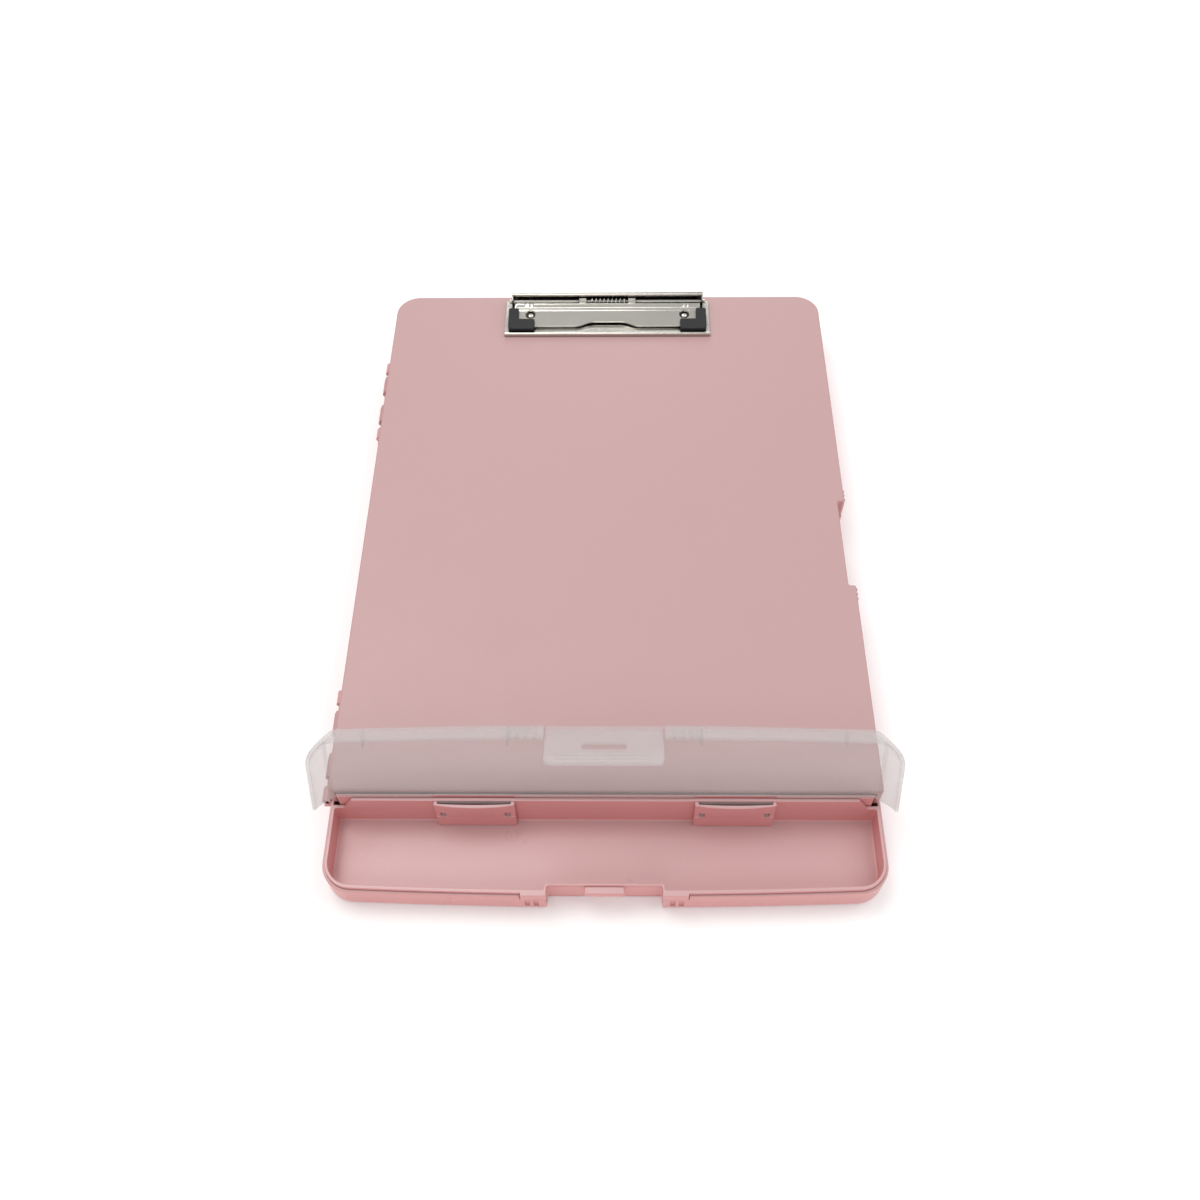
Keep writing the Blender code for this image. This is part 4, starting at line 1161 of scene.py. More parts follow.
@dataclass
class CaseHinge:
    """Knuckles of both shells and the pins that run through them."""

    places: CasePlaces
    radius: float = 0.0021
    group_offset: float = 0.1035
    cover_length: float = 0.011
    case_length: float = 0.0067
    narrow: float = 0.0044
    middle: float = 0.010
    web: float = 0.0025
    ledge: float = 0.0018
    ledge_drop: float = 0.00343

    def knuckles(self, shop: Workshop, body: Body) -> Mesh:
        """Returns the knuckles of one shell.

        Args:
            shop: Holds the finishes.
            body: The shell's body.
        """
        at = self.places
        on_cover = body is Body.COVER
        length = self.cover_length if on_cover else self.case_length
        offset = self.middle / 2 + self.cover_length / 2
        if not on_cover:
            offset = self.middle / 2 + self.cover_length + self.narrow + self.case_length / 2
        wall_x = -(at.cover_half if on_cover else at.half) + at.wall / 2
        sign = 1 if on_cover else -1
        web_width = wall_x - at.hinge.x + self.radius / 2
        web_centre = at.hinge.x - self.radius / 2 + web_width / 2
        values = {
            "Groups": (at.hinge.x, -self.group_offset, at.hinge.z),
            "Group Step": (0.0, 2 * self.group_offset, 0.0),
            "Pair Start": (0.0, -offset, 0.0),
            "Pair Step": (0.0, 2 * offset, 0.0),
            "Radius": self.radius,
            "Length": length,
            "Web Size": (web_width, length, self.web),
            "Web Shift": (web_centre - at.hinge.x, 0.0, sign * (self.web / 2 + 1.5 * GAP)),
        }
        return knuckle_tree().run(values, shop.materials[Slot.CASE])

    def ledges(self) -> Mesh:
        """Returns the two ledges of the lower shell that close the hinge from below."""
        at = self.places
        reach = self.middle / 2 + self.cover_length + self.narrow + self.case_length
        parts = []
        for side in (-1, 1):
            centre = side * self.group_offset
            low = (at.hinge.x - self.radius + 0.0001, centre - reach, at.hinge.z - self.ledge_drop - self.ledge)
            high = (at.wall / 2 - at.half, centre + reach, at.hinge.z - self.ledge_drop)
            parts.append(block(f"ledge_{side}", low, high))
        return merged("hinge_ledges", parts)

    def build(self, shop: Workshop) -> None:
        """Builds both rows of knuckles, the ledges under them and dresses the pins."""
        for body, slot in ((Body.CASE, Slot.CASE), (Body.COVER, Slot.BOARD)):
            name = f"{body.value}_hinge_knuckles"
            shop.piece(name, self.knuckles(shop, body), body, slot, rounding=0.00025)
        shop.piece("hinge_ledges", self.ledges(), Body.CASE, Slot.CASE, rounding=0.0003)
        for node in ("case_hinge_pin_lower", "case_hinge_pin_upper"):
            shop.dress(node, Slot.STEEL)


# ---------------------------------------------------------------- the pen tray


@dataclass
class PenTray:
    """Pen tray with a flanged rim, a tall back wall, the latch tongue and its blocks."""

    places: CasePlaces
    wall: float = 0.0008
    back_wall: float = 0.0015
    floor: float = 0.0018
    flange: float = 0.0017
    round_under: float = 0.0028
    fillet_radius: float = 0.00075
    rim_set: float = 0.001
    rim_side: float = 0.0004
    rim_round: float = 0.0003
    end_notch: float = 0.0041
    end_slope: float = 0.0045
    block_width: float = 0.0108
    block_height: float = 0.005
    tongue_half: float = 0.00835
    tongue_low: float = 0.0119
    tongue_high: float = 0.0152
    tongue_reach: float = 0.0034

    def shell(self) -> Mesh:
        """Returns the lofted tray with its flange, all round at rim height."""
        at = self.places
        body_half = at.half - at.wall - GAP
        body_front = at.front + at.wall + GAP
        radius = at.corner - at.wall - GAP
        lip = at.half - at.tray_half
        body = CaseOutline(
            body_half, body_front, at.tray_rear, radius, SLIVER, at.bow, recess=(at.recess_half, at.recess_face)
        )
        rim = CaseOutline(
            at.tray_half - self.rim_side, at.front + self.rim_set, at.tray_rear, at.corner - lip, SLIVER, at.bow,
            recess=(at.recess_half, at.recess_face),
        )
        inside = CaseOutline(
            body_half - self.wall, body_front + self.wall, at.tray_rear - self.back_wall, radius - self.wall,
            self.wall, at.bow, recess=(at.recess_half + self.wall, at.recess_face + self.wall),
        )
        under = self.round_under
        soft = self.rim_round
        rings = [body.ring(i, z) for i, z in quarter(under, at.tray_low + under, under, 270, 180, 6)]
        rings.append(body.ring(0.0, at.rim - self.flange))
        rings += [rim.ring(i, z) for i, z in quarter(soft, at.rim - self.flange + soft, soft, 270, 180, 3)]
        rings += [rim.ring(i, z) for i, z in quarter(soft, at.rim - soft, soft, 180, 90, 3)]
        rings += [inside.ring(i, z) for i, z in quarter(-soft, at.rim - soft, soft, 90, 0, 3)]
        low = at.tray_low + self.floor
        inner = self.fillet_radius
        rings += [inside.ring(i, z) for i, z in quarter(inner, low + inner, inner, 180, 270, 5)]
        return loft("pen_tray", rings)

    def back_plate(self) -> Mesh:
        """Returns the tall part of the back wall, whose ends slope."""
        at = self.places
        foot = at.half - at.wall - GAP - self.wall - self.end_notch
        head = foot - self.end_slope
        low = at.rim - 0.006
        outline = [(-foot, low), (foot, low), (foot, at.rim)]
        outline += [(head, at.tray_wall_top), (-head, at.tray_wall_top), (-foot, at.rim)]
        return plate("back_plate", outline, at.tray_rear - self.back_wall + SLIVER, self.back_wall - 2 * SLIVER)

    def additions(self) -> list[Mesh]:
        """Returns the back plate, the two blocks and the latch tongue."""
        at = self.places
        parts = [self.back_plate()]
        for side in (-1, 1):
            ends = sorted((side * at.recess_half, side * (at.recess_half + self.block_width)))
            low = (ends[0], at.front, at.rim - self.block_height)
            high = (ends[1], at.front + at.block_depth, at.rim - 0.00002)
            parts.append(block(f"tray_block_{side}", low, high, 0.0003, 2))
        low = (-self.tongue_half, at.recess_face - self.tongue_reach, self.tongue_low)
        high = (self.tongue_half, at.recess_face + self.wall / 2, self.tongue_high)
        return [*parts, block("latch_tongue", low, high, 0.0007, 4)]

    def build(self, shop: Workshop) -> None:
        """Builds and dresses the tray."""
        mesh = merged("pen_tray", [self.shell(), *self.additions()])
        shop.piece("tray_shell", mesh, Body.COVER, Slot.CASE, ["pen_tray"], rounding=0.00015, angle=50)


@dataclass
class LidBracket:
    """U-shaped bracket on the tray's back wall that holds one strap of the lid."""

    places: CasePlaces
    word: str
    cheek: float = 0.0015
    plate: float = 0.0014
    bow: float = 0.0013
    window_width: float = 0.0024
    window_height: float = 0.0034
    window_z: float = 0.0158
    hook_spacing: float = 0.0278
    soft: float = 0.0006

    def _plan(self, x: float, half: float, front: float, rear: float, bow: float, soft: float, z: float) -> Ring:
        """Returns one ring of a D-shaped plan whose front bows forward.

        Args:
            x: X of the plan's middle.
            half: Half width.
            front: Y of the front's ends.
            rear: Y of the open rear.
            bow: How far the middle of the front bulges.
            soft: Radius of the front corners.
            z: The ring's height.
        """
        steps = 12
        points = fillet((half, rear), (1, 0), (0, -1), SLIVER)[::-1]
        bulge = [(half * (2 * i / steps - 1), front - bow * (1 - (2 * i / steps - 1) ** 2)) for i in range(steps + 1)]
        left = fillet((-half, front), (0, -1), (1, 0), soft, 3)
        right = [(-px, py) for px, py in reversed(left)]
        points = [(-half, rear), *left, *bulge[1:-1], *right, (half, rear)]
        return [Vector((x + px, py, z)) for px, py in points]

    def __post_init__(self) -> None:
        """Reads the bracket's place from the frame."""
        self.node = f"lid_bracket_{self.word}"
        self.low, self.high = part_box(self.node)
        self.middle = (self.low.x + self.high.x) / 2
        self.half = (self.high.x - self.low.x) / 2

    def body(self) -> Mesh:
        """Returns the solid bracket before its pocket and windows are cut."""
        low, high, x, half = self.low, self.high, self.middle, self.half
        crease = self.window_z - self.window_height / 2 + 0.0002
        levels = (
            (low.z, 0.0, 0.0), (crease - 0.0002, 0.0, 0.0), (crease, 0.0003, 0.15),
            (high.z - 0.0014, 0.0009, 1.0), (high.z - 0.0003, 0.0009, 1.0), (high.z, 0.0012, 1.0),
        )
        rings = [
            self._plan(x, half - max(0.0, z - high.z + 0.0003), low.y + back, high.y, self.bow * share, self.soft, z)
            for z, back, share in levels
        ]
        return loft(self.node, rings)

    def pocket(self) -> Mesh:
        """Returns the hollow behind the plate, bowed like it."""
        low, high, x, half = self.low, self.high, self.middle, self.half - self.cheek
        front = low.y + self.plate
        rear = high.y + 0.001
        levels = ((low.z - 0.001, 0.0), (self.window_z, 0.0), (high.z - 0.0014, 0.35), (high.z + 0.001, 0.35))
        rings = [self._plan(x, half, front, rear, self.bow * share, 0.0003, z) for z, share in levels]
        return loft("pocket", rings)

    def build(self, shop: Workshop) -> None:
        """Builds and dresses one bracket."""
        low, high, x = self.low, self.high, self.middle
        steps = [("DIFFERENCE", self.pocket())]
        for side in (-1, 1):
            centre = x + side * self.hook_spacing / 2
            corner = Vector((self.window_width / 2, 0.0, self.window_height / 2))
            start = Vector((centre, low.y - 0.003, self.window_z)) - corner
            end = Vector((centre, high.y - 0.0008, self.window_z)) + corner
            steps.append(("DIFFERENCE", block(f"window_{side}", start, end, 0.0003, 2)))
        mesh = carved(self.body(), steps)
        shop.piece(f"bracket_{self.word}", mesh, Body.COVER, Slot.CASE, [self.node], rounding=0.00018, angle=45)
        shop.dress(f"lid_hinge_strap_{self.word}", Slot.CLEAR)


# ---------------------------------------------------------------- the pen lid


@dataclass
class PenLid:
    """Translucent lid, shaped shut about its pivot and then turned to its open stop."""

    places: CasePlaces
    open_angle: float = math.radians(117)
    thickness: float = 0.0013
    top: float = 0.0013
    rim: float = -0.00835
    fold_half: float = 0.1166
    flare: float = 0.0057
    draft: float = 0.0003
    corner: float = 0.008
    fold_round: float = 0.002
    rear_gap: float = 0.0005
    tab_length: float = 0.0245
    tab_thickness: float = 0.0013
    tab_setback: float = 0.0019
    tab_corner: float = 0.003
    slot_half: float = 0.0089
    slot_low: float = -0.014
    slot_high: float = -0.0097
    strap_offset: float = 0.0556
    strap_notch_half: float = 0.0178
    strap_notch_depth: float = 0.0016
    levels: int = 10
    gusset_places: tuple[float, ...] = (-0.099, -0.0395, 0.0395, 0.099)

    @property
    def front(self) -> float:
        """Y of the shut lid's front, measured from its pivot."""
        return self.places.front + 0.0006 - self.places.lid_pivot.y

    @property
    def opened(self) -> Matrix:
        """Turn and shift from the shut lid about its pivot to its open place."""
        return Matrix.Translation(self.places.lid_pivot) @ Matrix.Rotation(-self.open_angle, 4, "X")

    def _ring(self, half: float, front: float, radius: float, z: float) -> Ring:
        """Returns one level of the lid's edge, from its rear left end round to its rear right end.

        Args:
            half: Half width at this level.
            front: Y of the front's middle.
            radius: Radius of the front corners.
            z: Height of the level.
        """
        inner = half - radius
        bow = self.places.bow
        steps = 24
        line = [
            (inner * (2 * i / steps - 1), front + bow * (inner * (2 * i / steps - 1) / half) ** 2)
            for i in range(steps + 1)
        ]
        left = arc((-inner, line[0][1] + radius), radius, 180, 270, 12)[:-1]
        right = [(-x, y) for x, y in reversed(left)]
        points = [(-half, -self.rear_gap), *left, *line, *right, (half, -self.rear_gap)]
        return [Vector((x, y, z)) for x, y in points]

    def skin(self) -> Mesh:
        """Returns the lid's outer skin, rounded at the fold and flared towards the rim."""
        soft = self.fold_round
        rings = []
        for inset, z in quarter(soft, self.top - soft, soft, 90, 180, 4):
            rings.append(self._ring(self.fold_half - inset, self.front + self.draft + inset, self.corner - inset, z))
        depth = self.top - soft - self.rim
        for level in range(1, self.levels + 1):
            drop = level / self.levels
            share = 1 - (1 - drop) ** 1.5
            side = self.flare * share
            front = self.front + self.draft * (1 - share)
            rings.append(self._ring(self.fold_half + side, front, self.corner + side, self.top - soft - depth * drop))
        work = bmesh.new()
        rows = [[work.verts.new(point) for point in ring] for ring in rings]
        work.faces.new(rows[0])
        for upper, lower in zip(rows, rows[1:]):
            for index in range(len(upper) - 1):
                work.faces.new((upper[index], lower[index], lower[index + 1], upper[index + 1]))
        bmesh.ops.recalc_face_normals(work, faces=work.faces)
        panel = max(work.faces, key=lambda face: face.calc_area())
        if panel.normal.z < 0:
            bmesh.ops.reverse_faces(work, faces=work.faces)
        return to_mesh("lid_skin", work)

    def shell(self) -> Mesh:
        """Returns the skin with its wall thickness."""
        return thickened("pen_lid", self.skin(), self.thickness, -1)

    def tab(self) -> Mesh:
        """Returns the long latch tab with rounded lower corners."""
        half = self.places.recess_half - GAP
        foot = self.top - self.tab_length
        corner = self.tab_corner
        outline = fillet((-half, foot), (0, -1), (1, 0), corner, 8)
        outline += [(-x, z) for x, z in reversed(outline)]
        outline += [(half, self.top), (-half, self.top)]
        return plate("latch_tab", outline, self.front + self.tab_setback, self.tab_thickness)

    def carve(self) -> Mesh:
        """Returns the shell with its tab, the openings beside it and the notches for the straps."""
        half = self.places.recess_half + GAP
        near = self.front + self.tab_setback
        opening = block(
            "tab_opening", (-half, self.front - 0.002, self.rim - 0.001),
            (half, near + self.tab_thickness / 2, self.top + 0.001),
        )
        slot = block(
            "tab_slot", (-self.slot_half, near - 0.001, self.slot_low),
            (self.slot_half, near + self.tab_thickness + 0.001, self.slot_high), 0.0006, 3,
        )
        steps = [("DIFFERENCE", opening), ("UNION", self.tab()), ("DIFFERENCE", slot)]
        for side in (-1, 1):
            x = side * self.strap_offset
            low = (x - self.strap_notch_half, -self.strap_notch_depth, -0.004)
            high = (x + self.strap_notch_half, 0.001, 0.004)
            steps.append(("DIFFERENCE", block(f"strap_notch_{side}", low, high, 0.0008, 2)))
        return carved(self.shell(), steps)

    def ribs(self, shop: Workshop) -> Mesh:
        """Returns the ribs beside the tab, the gussets of the front wall and the ridges of the tab.

        Args:
            shop: Holds the finishes.
        """
        clear = shop.materials[Slot.CLEAR]
        tree = block_row_tree()
        wall_y = self.front + self.thickness
        parts = []
        for side in (-1, 1):
            start = side * (self.places.recess_half + 0.0042)
            values = {
                "Count": 4, "Start": (start, wall_y, (self.top + self.rim) / 2 - 0.0006),
                "Step": (side * 0.0034, 0.0, 0.0), "Size": (0.0012, 0.0016, 0.0078),
            }
            parts.append(tree.run(values, clear))
        for x in self.gusset_places:
            values = {
                "Count": 1, "Start": (x, wall_y + 0.0028 + self.places.bow * (x / self.fold_half) ** 2, -0.0022),
                "Step": (0.0, 0.0, 0.0), "Size": (0.0008, 0.0056, 0.0052),
            }
            parts.append(tree.run(values, clear))
        tab_y = self.front + self.tab_setback + self.tab_thickness
        ridges = {
            "Count": 3, "Start": (0.0, tab_y, -0.0166), "Step": (0.0, 0.0, -0.0021),
            "Size": (0.0386, 0.0006, 0.0007),
        }
        parts.append(tree.run(ridges, clear))
        return merged("lid_ribs", parts)

    def build(self, shop: Workshop) -> None:
        """Builds the lid and its ribs, and turns them to the open stop."""
        lid = self.carve()
        ribs = self.ribs(shop)
        for mesh in (lid, ribs):
            mesh.transform(self.opened)
        shop.piece("clear_lid", lid, Body.LID, Slot.CLEAR, ["pen_lid"], rounding=0.0002, angle=50)
        shop.piece("lid_ribs", ribs, Body.LID, Slot.CLEAR, rounding=0.0002)


# ---------------------------------------------------------------- the clip


@dataclass
class SpringClip:
    """Low-profile clip: base plate, sprung jaw, corner guards, rivets and coil spring."""

    places: CasePlaces
    sheet: float = 0.001
    lip_height: float = 0.0022
    lip_depth: float = 0.0016
    roll_radius: float = 0.0016
    back_height: float = 0.0078
    cheek_depth: float = 0.0068
    cheek_thickness: float = 0.0008
    cheek_gap: float = 0.001
    jaw_half: float = 0.0515
    jaw_front_gap: float = 0.0055
    jaw_front_height: float = 0.0015
    bend_from_rod: float = 0.0055
    bend_height: float = 0.0036
    rear_from_rod: float = 0.003
    rear_height: float = 0.0062
    hump_height: float = 0.0005
    hump_cut: float = 0.003
    hump_base: float = 0.036
    hump_top: float = 0.015
    lug_offset: float = 0.0137
    lug_width: float = 0.004
    rivet_offset: float = 0.0428
    rivet_from_front: float = 0.0146
    view_radius: float = 0.0029
    view_shift: float = 0.0011
    rod_radius: float = 0.0011
    shank_radius: float = 0.0014
    wire: float = 0.0004
    coil_turns: float = 8.5
    coil_length: float = 0.019

    def __post_init__(self) -> None:
        """Reads the plate's place from the frame."""
        low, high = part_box("clip_base_plate")
        self.low = low.z
        self.front = low.y
        self.back = high.y
        self.half = high.x
        self.rod = self.places.rod

    def base_plate(self) -> Mesh:
        """Returns the flat plate with its front lip, the rolled back and the two cheeks."""
        top = self.low + self.sheet
        lip = self.lip_depth / 2
        flat = [(self.back - SLIVER, self.low), (self.back - SLIVER, top)]
        flat += [(self.front + self.lip_depth, top), (self.front + self.lip_depth, self.low + self.lip_height - lip)]
        flat += arc((self.front + lip, self.low + self.lip_height - lip), lip, 0, 180, 10)[1:]
        flat += [(self.front, self.low)]
        roll = (self.back - self.roll_radius, self.low + self.back_height)
        stop = 360 - math.degrees(math.acos(1 - self.sheet / self.roll_radius))
        wall = [(self.back - self.sheet, self.low + SLIVER), (self.back, self.low + SLIVER)]
        wall += arc(roll, self.roll_radius, 0, stop, 28)
        reach = self.jaw_half + self.cheek_gap + self.cheek_thickness
        parts = [bar("flat", flat, -self.half, self.half), bar("back", wall, -reach, reach)]
        for side in (-1, 1):
            ends = sorted((side * (self.jaw_half + self.cheek_gap), side * reach))
            low = (ends[0] + SLIVER, self.back - self.cheek_depth, self.low + self.sheet / 2)
            high = (ends[1] - SLIVER, self.back - self.sheet / 2, self.low + self.back_height)
            parts.append(block(f"cheek_{side}", low, high))
        return merged("clip_base_plate", parts)

    def _section(self) -> list[tuple[float, float, float]]:
        """Returns (y, z, hump share) along the jaw's middle line, with a rounded bend."""
        front = self.front + self.jaw_front_gap
        front_z = self.low + self.sheet + self.jaw_front_height - self.sheet / 2
        bend = Vector((self.rod.y - self.bend_from_rod, self.low + self.bend_height))
        start = Vector((front, front_z))
        rear = Vector((self.rod.y - self.rear_from_rod, self.low + self.rear_height))
        soft = 0.0013
        enter = bend + (start - bend).normalized() * soft
        leave = bend + (rear - bend).normalized() * soft
        rows = [start.lerp(enter, i / 8) for i in range(8)]
        for i in range(7):
            t = i / 6
            rows.append(enter.lerp(bend, t).lerp(bend.lerp(leave, t), t))
        rows.append(rear)
        reach = (bend.x - front) * 0.66
        return [(row.x, row.y, max(0.0, 1 - (row.x - front) / reach)) for row in rows]

    def _hump(self, x: float) -> float:
        """Returns the hump's height share at an x, a trapezium with softened corners."""
        run = (self.hump_base - self.hump_top) / 2
        t = min(1.0, max(0.0, (self.hump_base / 2 - abs(x)) / run))
        return t + 0.12 * math.sin(2 * math.pi * t) * -1

    def jaw(self) -> Mesh:
        """Returns the pressing sheet with its hump and the holes over the rivets."""
        section = self._section()
        columns = 96
        work = bmesh.new()
        grid = []
        for i in range(columns + 1):
            x = self.jaw_half * (2 * i / columns - 1)
            hump = self._hump(x)
            cut, lift = self.hump_cut * hump, self.hump_height * hump
            grid.append([work.verts.new((x, y + cut * share, z + lift * share)) for y, z, share in section])
        for near, far in zip(grid, grid[1:]):
            for index in range(len(section) - 1):
                work.faces.new((near[index], far[index], far[index + 1], near[index + 1]))
        mesh = thickened("clip_jaw", to_mesh("jaw_sheet", work), self.sheet, 0)
        steps = []
        for side in (-1, 1):
            work = bmesh.new()
            bmesh.ops.create_cone(
                work, cap_ends=True, segments=32, radius1=self.view_radius, radius2=self.view_radius, depth=0.012
            )
            place = (side * self.rivet_offset, self.front + self.rivet_from_front - self.view_shift, self.low + 0.004)
            bmesh.ops.translate(work, vec=place, verts=work.verts)
            steps.append(("DIFFERENCE", to_mesh(f"view_{side}", work)))
        return carved(mesh, steps)

    def lugs(self) -> Mesh:
        """Returns the two curls that hook the jaw over the rod."""
        inner = self.rod_radius + GAP
        outer = inner + 0.0008
        centre = (self.rod.y, self.rod.z)
        section = arc(centre, outer, 200, -60, 24)
        section += arc(centre, inner, -60, 200, 24)
        rear = (self.rod.y - self.rear_from_rod, self.low + self.rear_height)
        strip = [
            (rear[0] - 0.0004, rear[1] - 0.0004), (self.rod.y, self.rod.z + inner),
            (self.rod.y, self.rod.z + outer), (rear[0] - 0.0002, rear[1] + 0.00045),
        ]
        parts = []
        for side in (-1, 1):
            start = side * self.lug_offset - self.lug_width / 2
            parts.append(bar(f"curl_{side}", section, start, start + self.lug_width))
            parts.append(bar(f"strip_{side}", strip, start + SLIVER, start + self.lug_width - SLIVER))
        return merged("jaw_lugs", parts)

    def _jaw_height(self, y: float) -> float:
        """Returns the height of the jaw's middle line in front of its bend."""
        front = self.front + self.jaw_front_gap
        front_z = self.low + self.sheet + self.jaw_front_height - self.sheet / 2
        bend_y = self.rod.y - self.bend_from_rod
        return front_z + (y - front) / (bend_y - front) * (self.low + self.bend_height - front_z)

    def guard(self, side: int) -> Mesh:
        """Returns the L-shaped guard on one front corner of the jaw.

        Args:
            side: -1 for the left corner, 1 for the right one.
        """
        word = "left" if side < 0 else "right"
        low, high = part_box(f"clip_corner_guard_{word}")
        outer = high.x if side > 0 else -low.x
        leg = low.x if side > 0 else -high.x
        inner = outer - 0.0055
        crossbar = low.y + 0.007
        outline = fillet((leg, low.y), (0, -1), (1, 0), 0.0006, 3)
        outline += fillet((outer, low.y), (1, 0), (0, 1), 0.0022, 6)
        outline += fillet((outer, high.y), (0, 1), (-1, 0), 0.0006, 3)
        outline += [(inner, high.y)]
        outline += fillet((inner, crossbar), (0, -1), (-1, 0), 0.0005, 3)
        outline += [(leg, crossbar)]
        points = [(side * x, y) for x, y in outline]
        if side < 0:
            points.reverse()
        rise = self.sheet / 2 + 0.0016
        drop = self.sheet / 2 + 0.0009
        floor = self.low + self.sheet + GAP
        rings = [
            [Vector((x, y, max(floor, self._jaw_height(y) - drop))) for x, y in points],
            [Vector((x, y, self._jaw_height(y) + rise)) for x, y in points],
        ]
        return loft(f"guard_{word}", rings)

    def rivets(self, shop: Workshop) -> Mesh:
        """Returns the two rivets, from their domed heads down to their tails under the board.

        Args:
            shop: Holds the finishes.
        """
        low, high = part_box("clip_rivet_left")
        radius = (high.x - low.x) / 2
        seat = self.low + self.sheet + GAP
        shank = seat - low.z
        values = {
            "Start": ((low.x + high.x) / 2, (low.y + high.y) / 2, seat),
            "Step": (2 * self.rivet_offset, 0.0, 0.0),
            "Head Radius": radius,
            "Shank Radius": self.shank_radius,
            "Shank Length": shank,
            "Shank Shift": (0.0, 0.0, -shank / 2),
            "Tail Shift": (0.0, 0.0, low.z - seat + TAIL_DEPTH / 2),
        }
        return rivet_tree().run(values, shop.materials[Slot.STEEL])

    def spring(self, shop: Workshop) -> Mesh:
        """Returns the coil between the lugs and its two straight legs.

        Args:
            shop: Holds the finishes.
        """
        wire = self.wire
        radius = self.rod_radius + GAP + wire
        values = {
            "Turns": self.coil_turns, "Radius": radius, "Length": self.coil_length, "Wire": wire,
            "Middle": (0.0, self.rod.y, self.rod.z),
        }
        coil = coil_tree().run(values, shop.materials[Slot.STEEL])
        legs = []
        end = self.coil_length / 2
        ends = ((-end, self.rod.y + 0.0002, 0.0028), (end, self.rod.y - 0.0034, 0.0034))
        for x, y, length in ends:
            work = bmesh.new()
            bmesh.ops.create_cone(work, cap_ends=True, segments=10, radius1=wire, radius2=wire, depth=length)
            turn = Matrix.Rotation(math.pi / 2, 4, "X")
            height = self.rod.z - radius if x < 0 else self.rod.z + radius
            shift = Matrix.Translation((x, y + length / 2, height))
            bmesh.ops.transform(work, matrix=shift @ turn, verts=work.verts)
            legs.append(to_mesh("leg", work))
        return merged("clip_spring", [coil, *legs])

    def build(self, shop: Workshop) -> None:
        """Builds and dresses every piece of the clip."""
        base = self.base_plate()
        shop.piece("clip_base", base, Body.COVER, Slot.STEEL, ["clip_base_plate"], rounding=0.00012, angle=40)
        shop.piece("jaw_sheet", self.jaw(), Body.JAW, Slot.STEEL, ["clip_jaw"], rounding=0.00018, angle=50)
        shop.piece("jaw_lugs", self.lugs(), Body.JAW, Slot.STEEL, rounding=0.0001, angle=50)
        for side, word in ((-1, "left"), (1, "right")):
            node = f"clip_corner_guard_{word}"
            shop.piece(f"corner_guard_{word}", self.guard(side), Body.JAW, Slot.GUARD, [node], rounding=0.0005)
            shop.dress(f"rivet_washer_{word}", Slot.STEEL)
        nodes = ["clip_rivet_left", "clip_rivet_right"]
        shop.piece("clip_rivets", self.rivets(shop), Body.COVER, Slot.STEEL, nodes, rounding=0.00008)
        shop.piece("clip_spring", self.spring(shop), Body.COVER, Slot.STEEL, ["clip_torsion_spring"])
        shop.dress("clip_hinge_rod", Slot.STEEL)


# ---------------------------------------------------------------- the studio


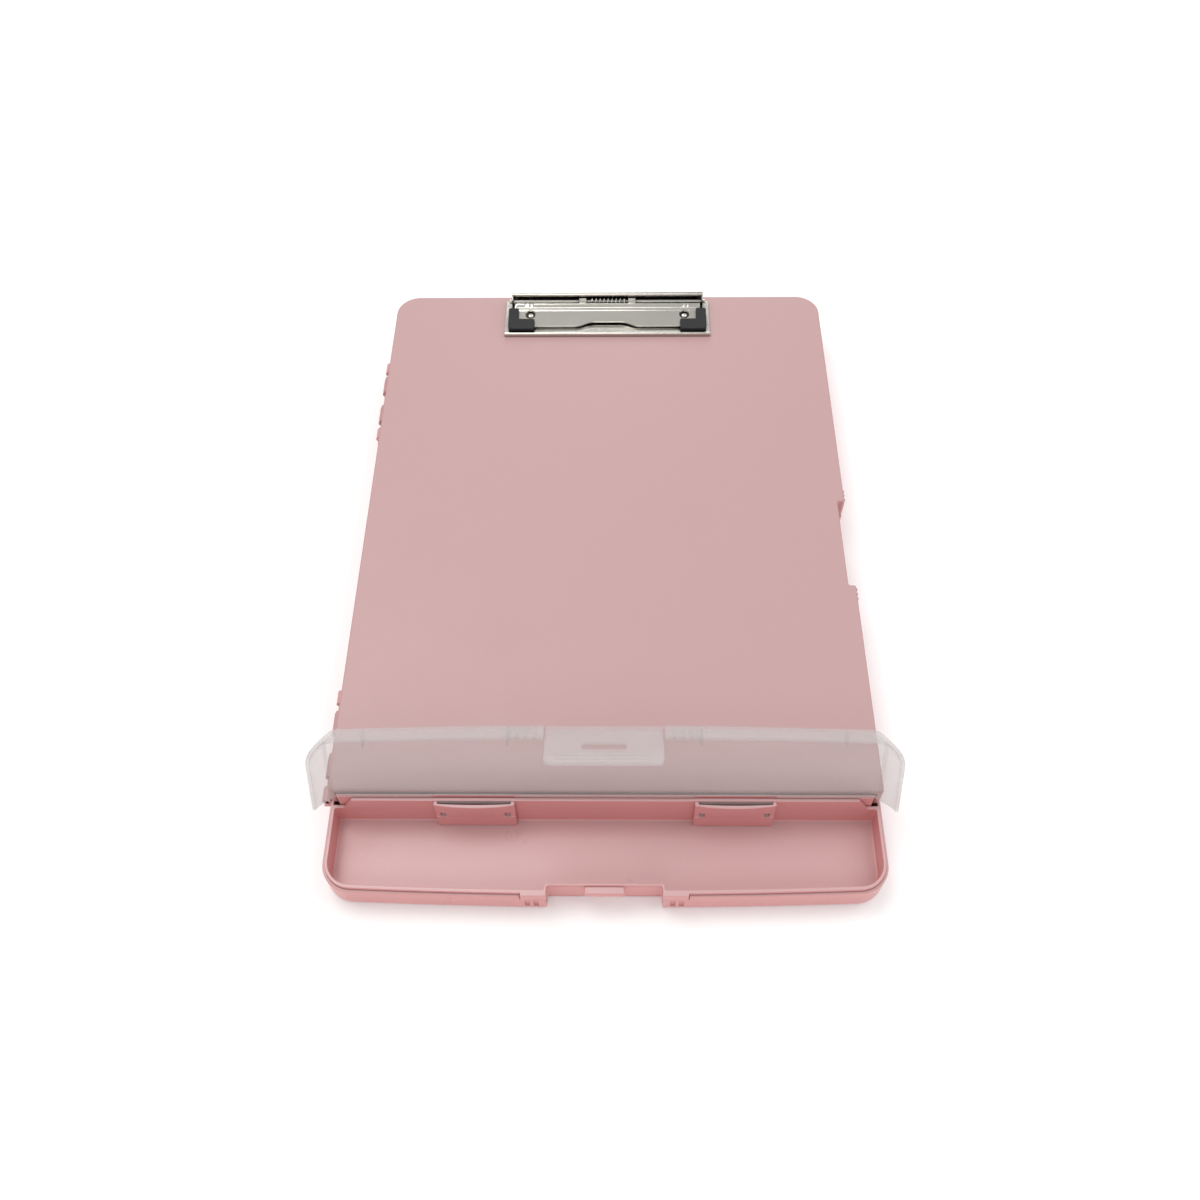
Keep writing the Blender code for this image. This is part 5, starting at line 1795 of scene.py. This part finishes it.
@dataclass
class Studio:
    """Pale floor, soft lights and the camera."""

    lens: float = 34.49
    sensor: float = 36.0
    turn: Place = (0.57861, 0.01061, 0.00742)
    eye: Place = (0.00429, -0.32947, 0.47979)
    floor_half: float = 3.0
    floor_colour: Colour = (0.88, 0.88, 0.88)
    floor_glow: float = 0.12
    backdrop: float = 0.55
    lights: tuple[tuple[str, Place, float, float, Colour], ...] = (
        ("key", (-0.5, 0.3, 1.35), 0.9, 9.0, (1.0, 0.985, 0.965)),
        ("fill", (0.85, 0.15, 1.1), 1.0, 5.2, (0.975, 0.985, 1.0)),
        ("front", (-0.15, -0.95, 0.9), 0.5, 2.4, (1.0, 1.0, 1.0)),
        ("rear", (0.0, 1.3, 0.62), 0.5, 3.0, (1.0, 1.0, 1.0)),
    )

    def camera(self) -> None:
        """Makes the camera that looks down along the board."""
        data = bpy.data.cameras.new("camera")
        data.lens = self.lens
        data.sensor_width = self.sensor
        camera = linked("camera", data)
        camera.location = self.eye
        camera.rotation_euler = self.turn
        bpy.context.scene.camera = camera

    def floor(self) -> None:
        """Makes the pale floor under the case."""
        work = bmesh.new()
        bmesh.ops.create_grid(work, x_segments=1, y_segments=1, size=self.floor_half)
        mesh = to_mesh("floor", work)
        material = bpy.data.materials.new("floor")
        material.use_nodes = True
        shader = material.node_tree.nodes["Principled BSDF"]
        shader.inputs["Base Color"].default_value = (*self.floor_colour, 1.0)
        shader.inputs["Roughness"].default_value = 0.9
        shader.inputs["Emission Color"].default_value = (1.0, 1.0, 1.0, 1.0)
        shader.inputs["Emission Strength"].default_value = self.floor_glow
        mesh.materials.append(material)
        floor = linked("floor", mesh)
        floor.location.z = -GAP

    def light(self) -> None:
        """Makes the area lights, aimed at the case, and the even world."""
        for name, place, size, power, colour in self.lights:
            data = bpy.data.lights.new(name, "AREA")
            data.size = size
            data.energy = power
            data.color = colour
            lamp = linked(name, data)
            lamp.location = place
            lamp.rotation_euler = (-Vector(place)).to_track_quat("-Z", "Y").to_euler()
        world = bpy.data.worlds.new("studio")
        world.use_nodes = True
        backdrop = world.node_tree.nodes["Background"]
        backdrop.inputs["Color"].default_value = (1.0, 1.0, 1.0, 1.0)
        backdrop.inputs["Strength"].default_value = self.backdrop
        bpy.context.scene.world = world
        bpy.context.scene.view_settings.view_transform = "Standard"

    def build(self) -> None:
        """Builds the studio."""
        self.camera()
        self.floor()
        self.light()


def main() -> None:
    """Builds the studio and every sub-assembly in order."""
    logging.basicConfig(level=logging.INFO, format="%(name)s: %(message)s")
    Studio().build()
    shop = Workshop()
    places = CasePlaces.read()
    assemblies: list[Any] = [LowerShell(places), UpperShell(places), CaseHinge(places), PenTray(places)]
    assemblies += [LidBracket(places, word) for word in ("left", "right")]
    assemblies += [PenLid(places), SpringClip(places)]
    for assembly in assemblies:
        assembly.build(shop)
        LOG.info("%s is done", type(assembly).__name__)


if __name__ == "__main__":
    main()
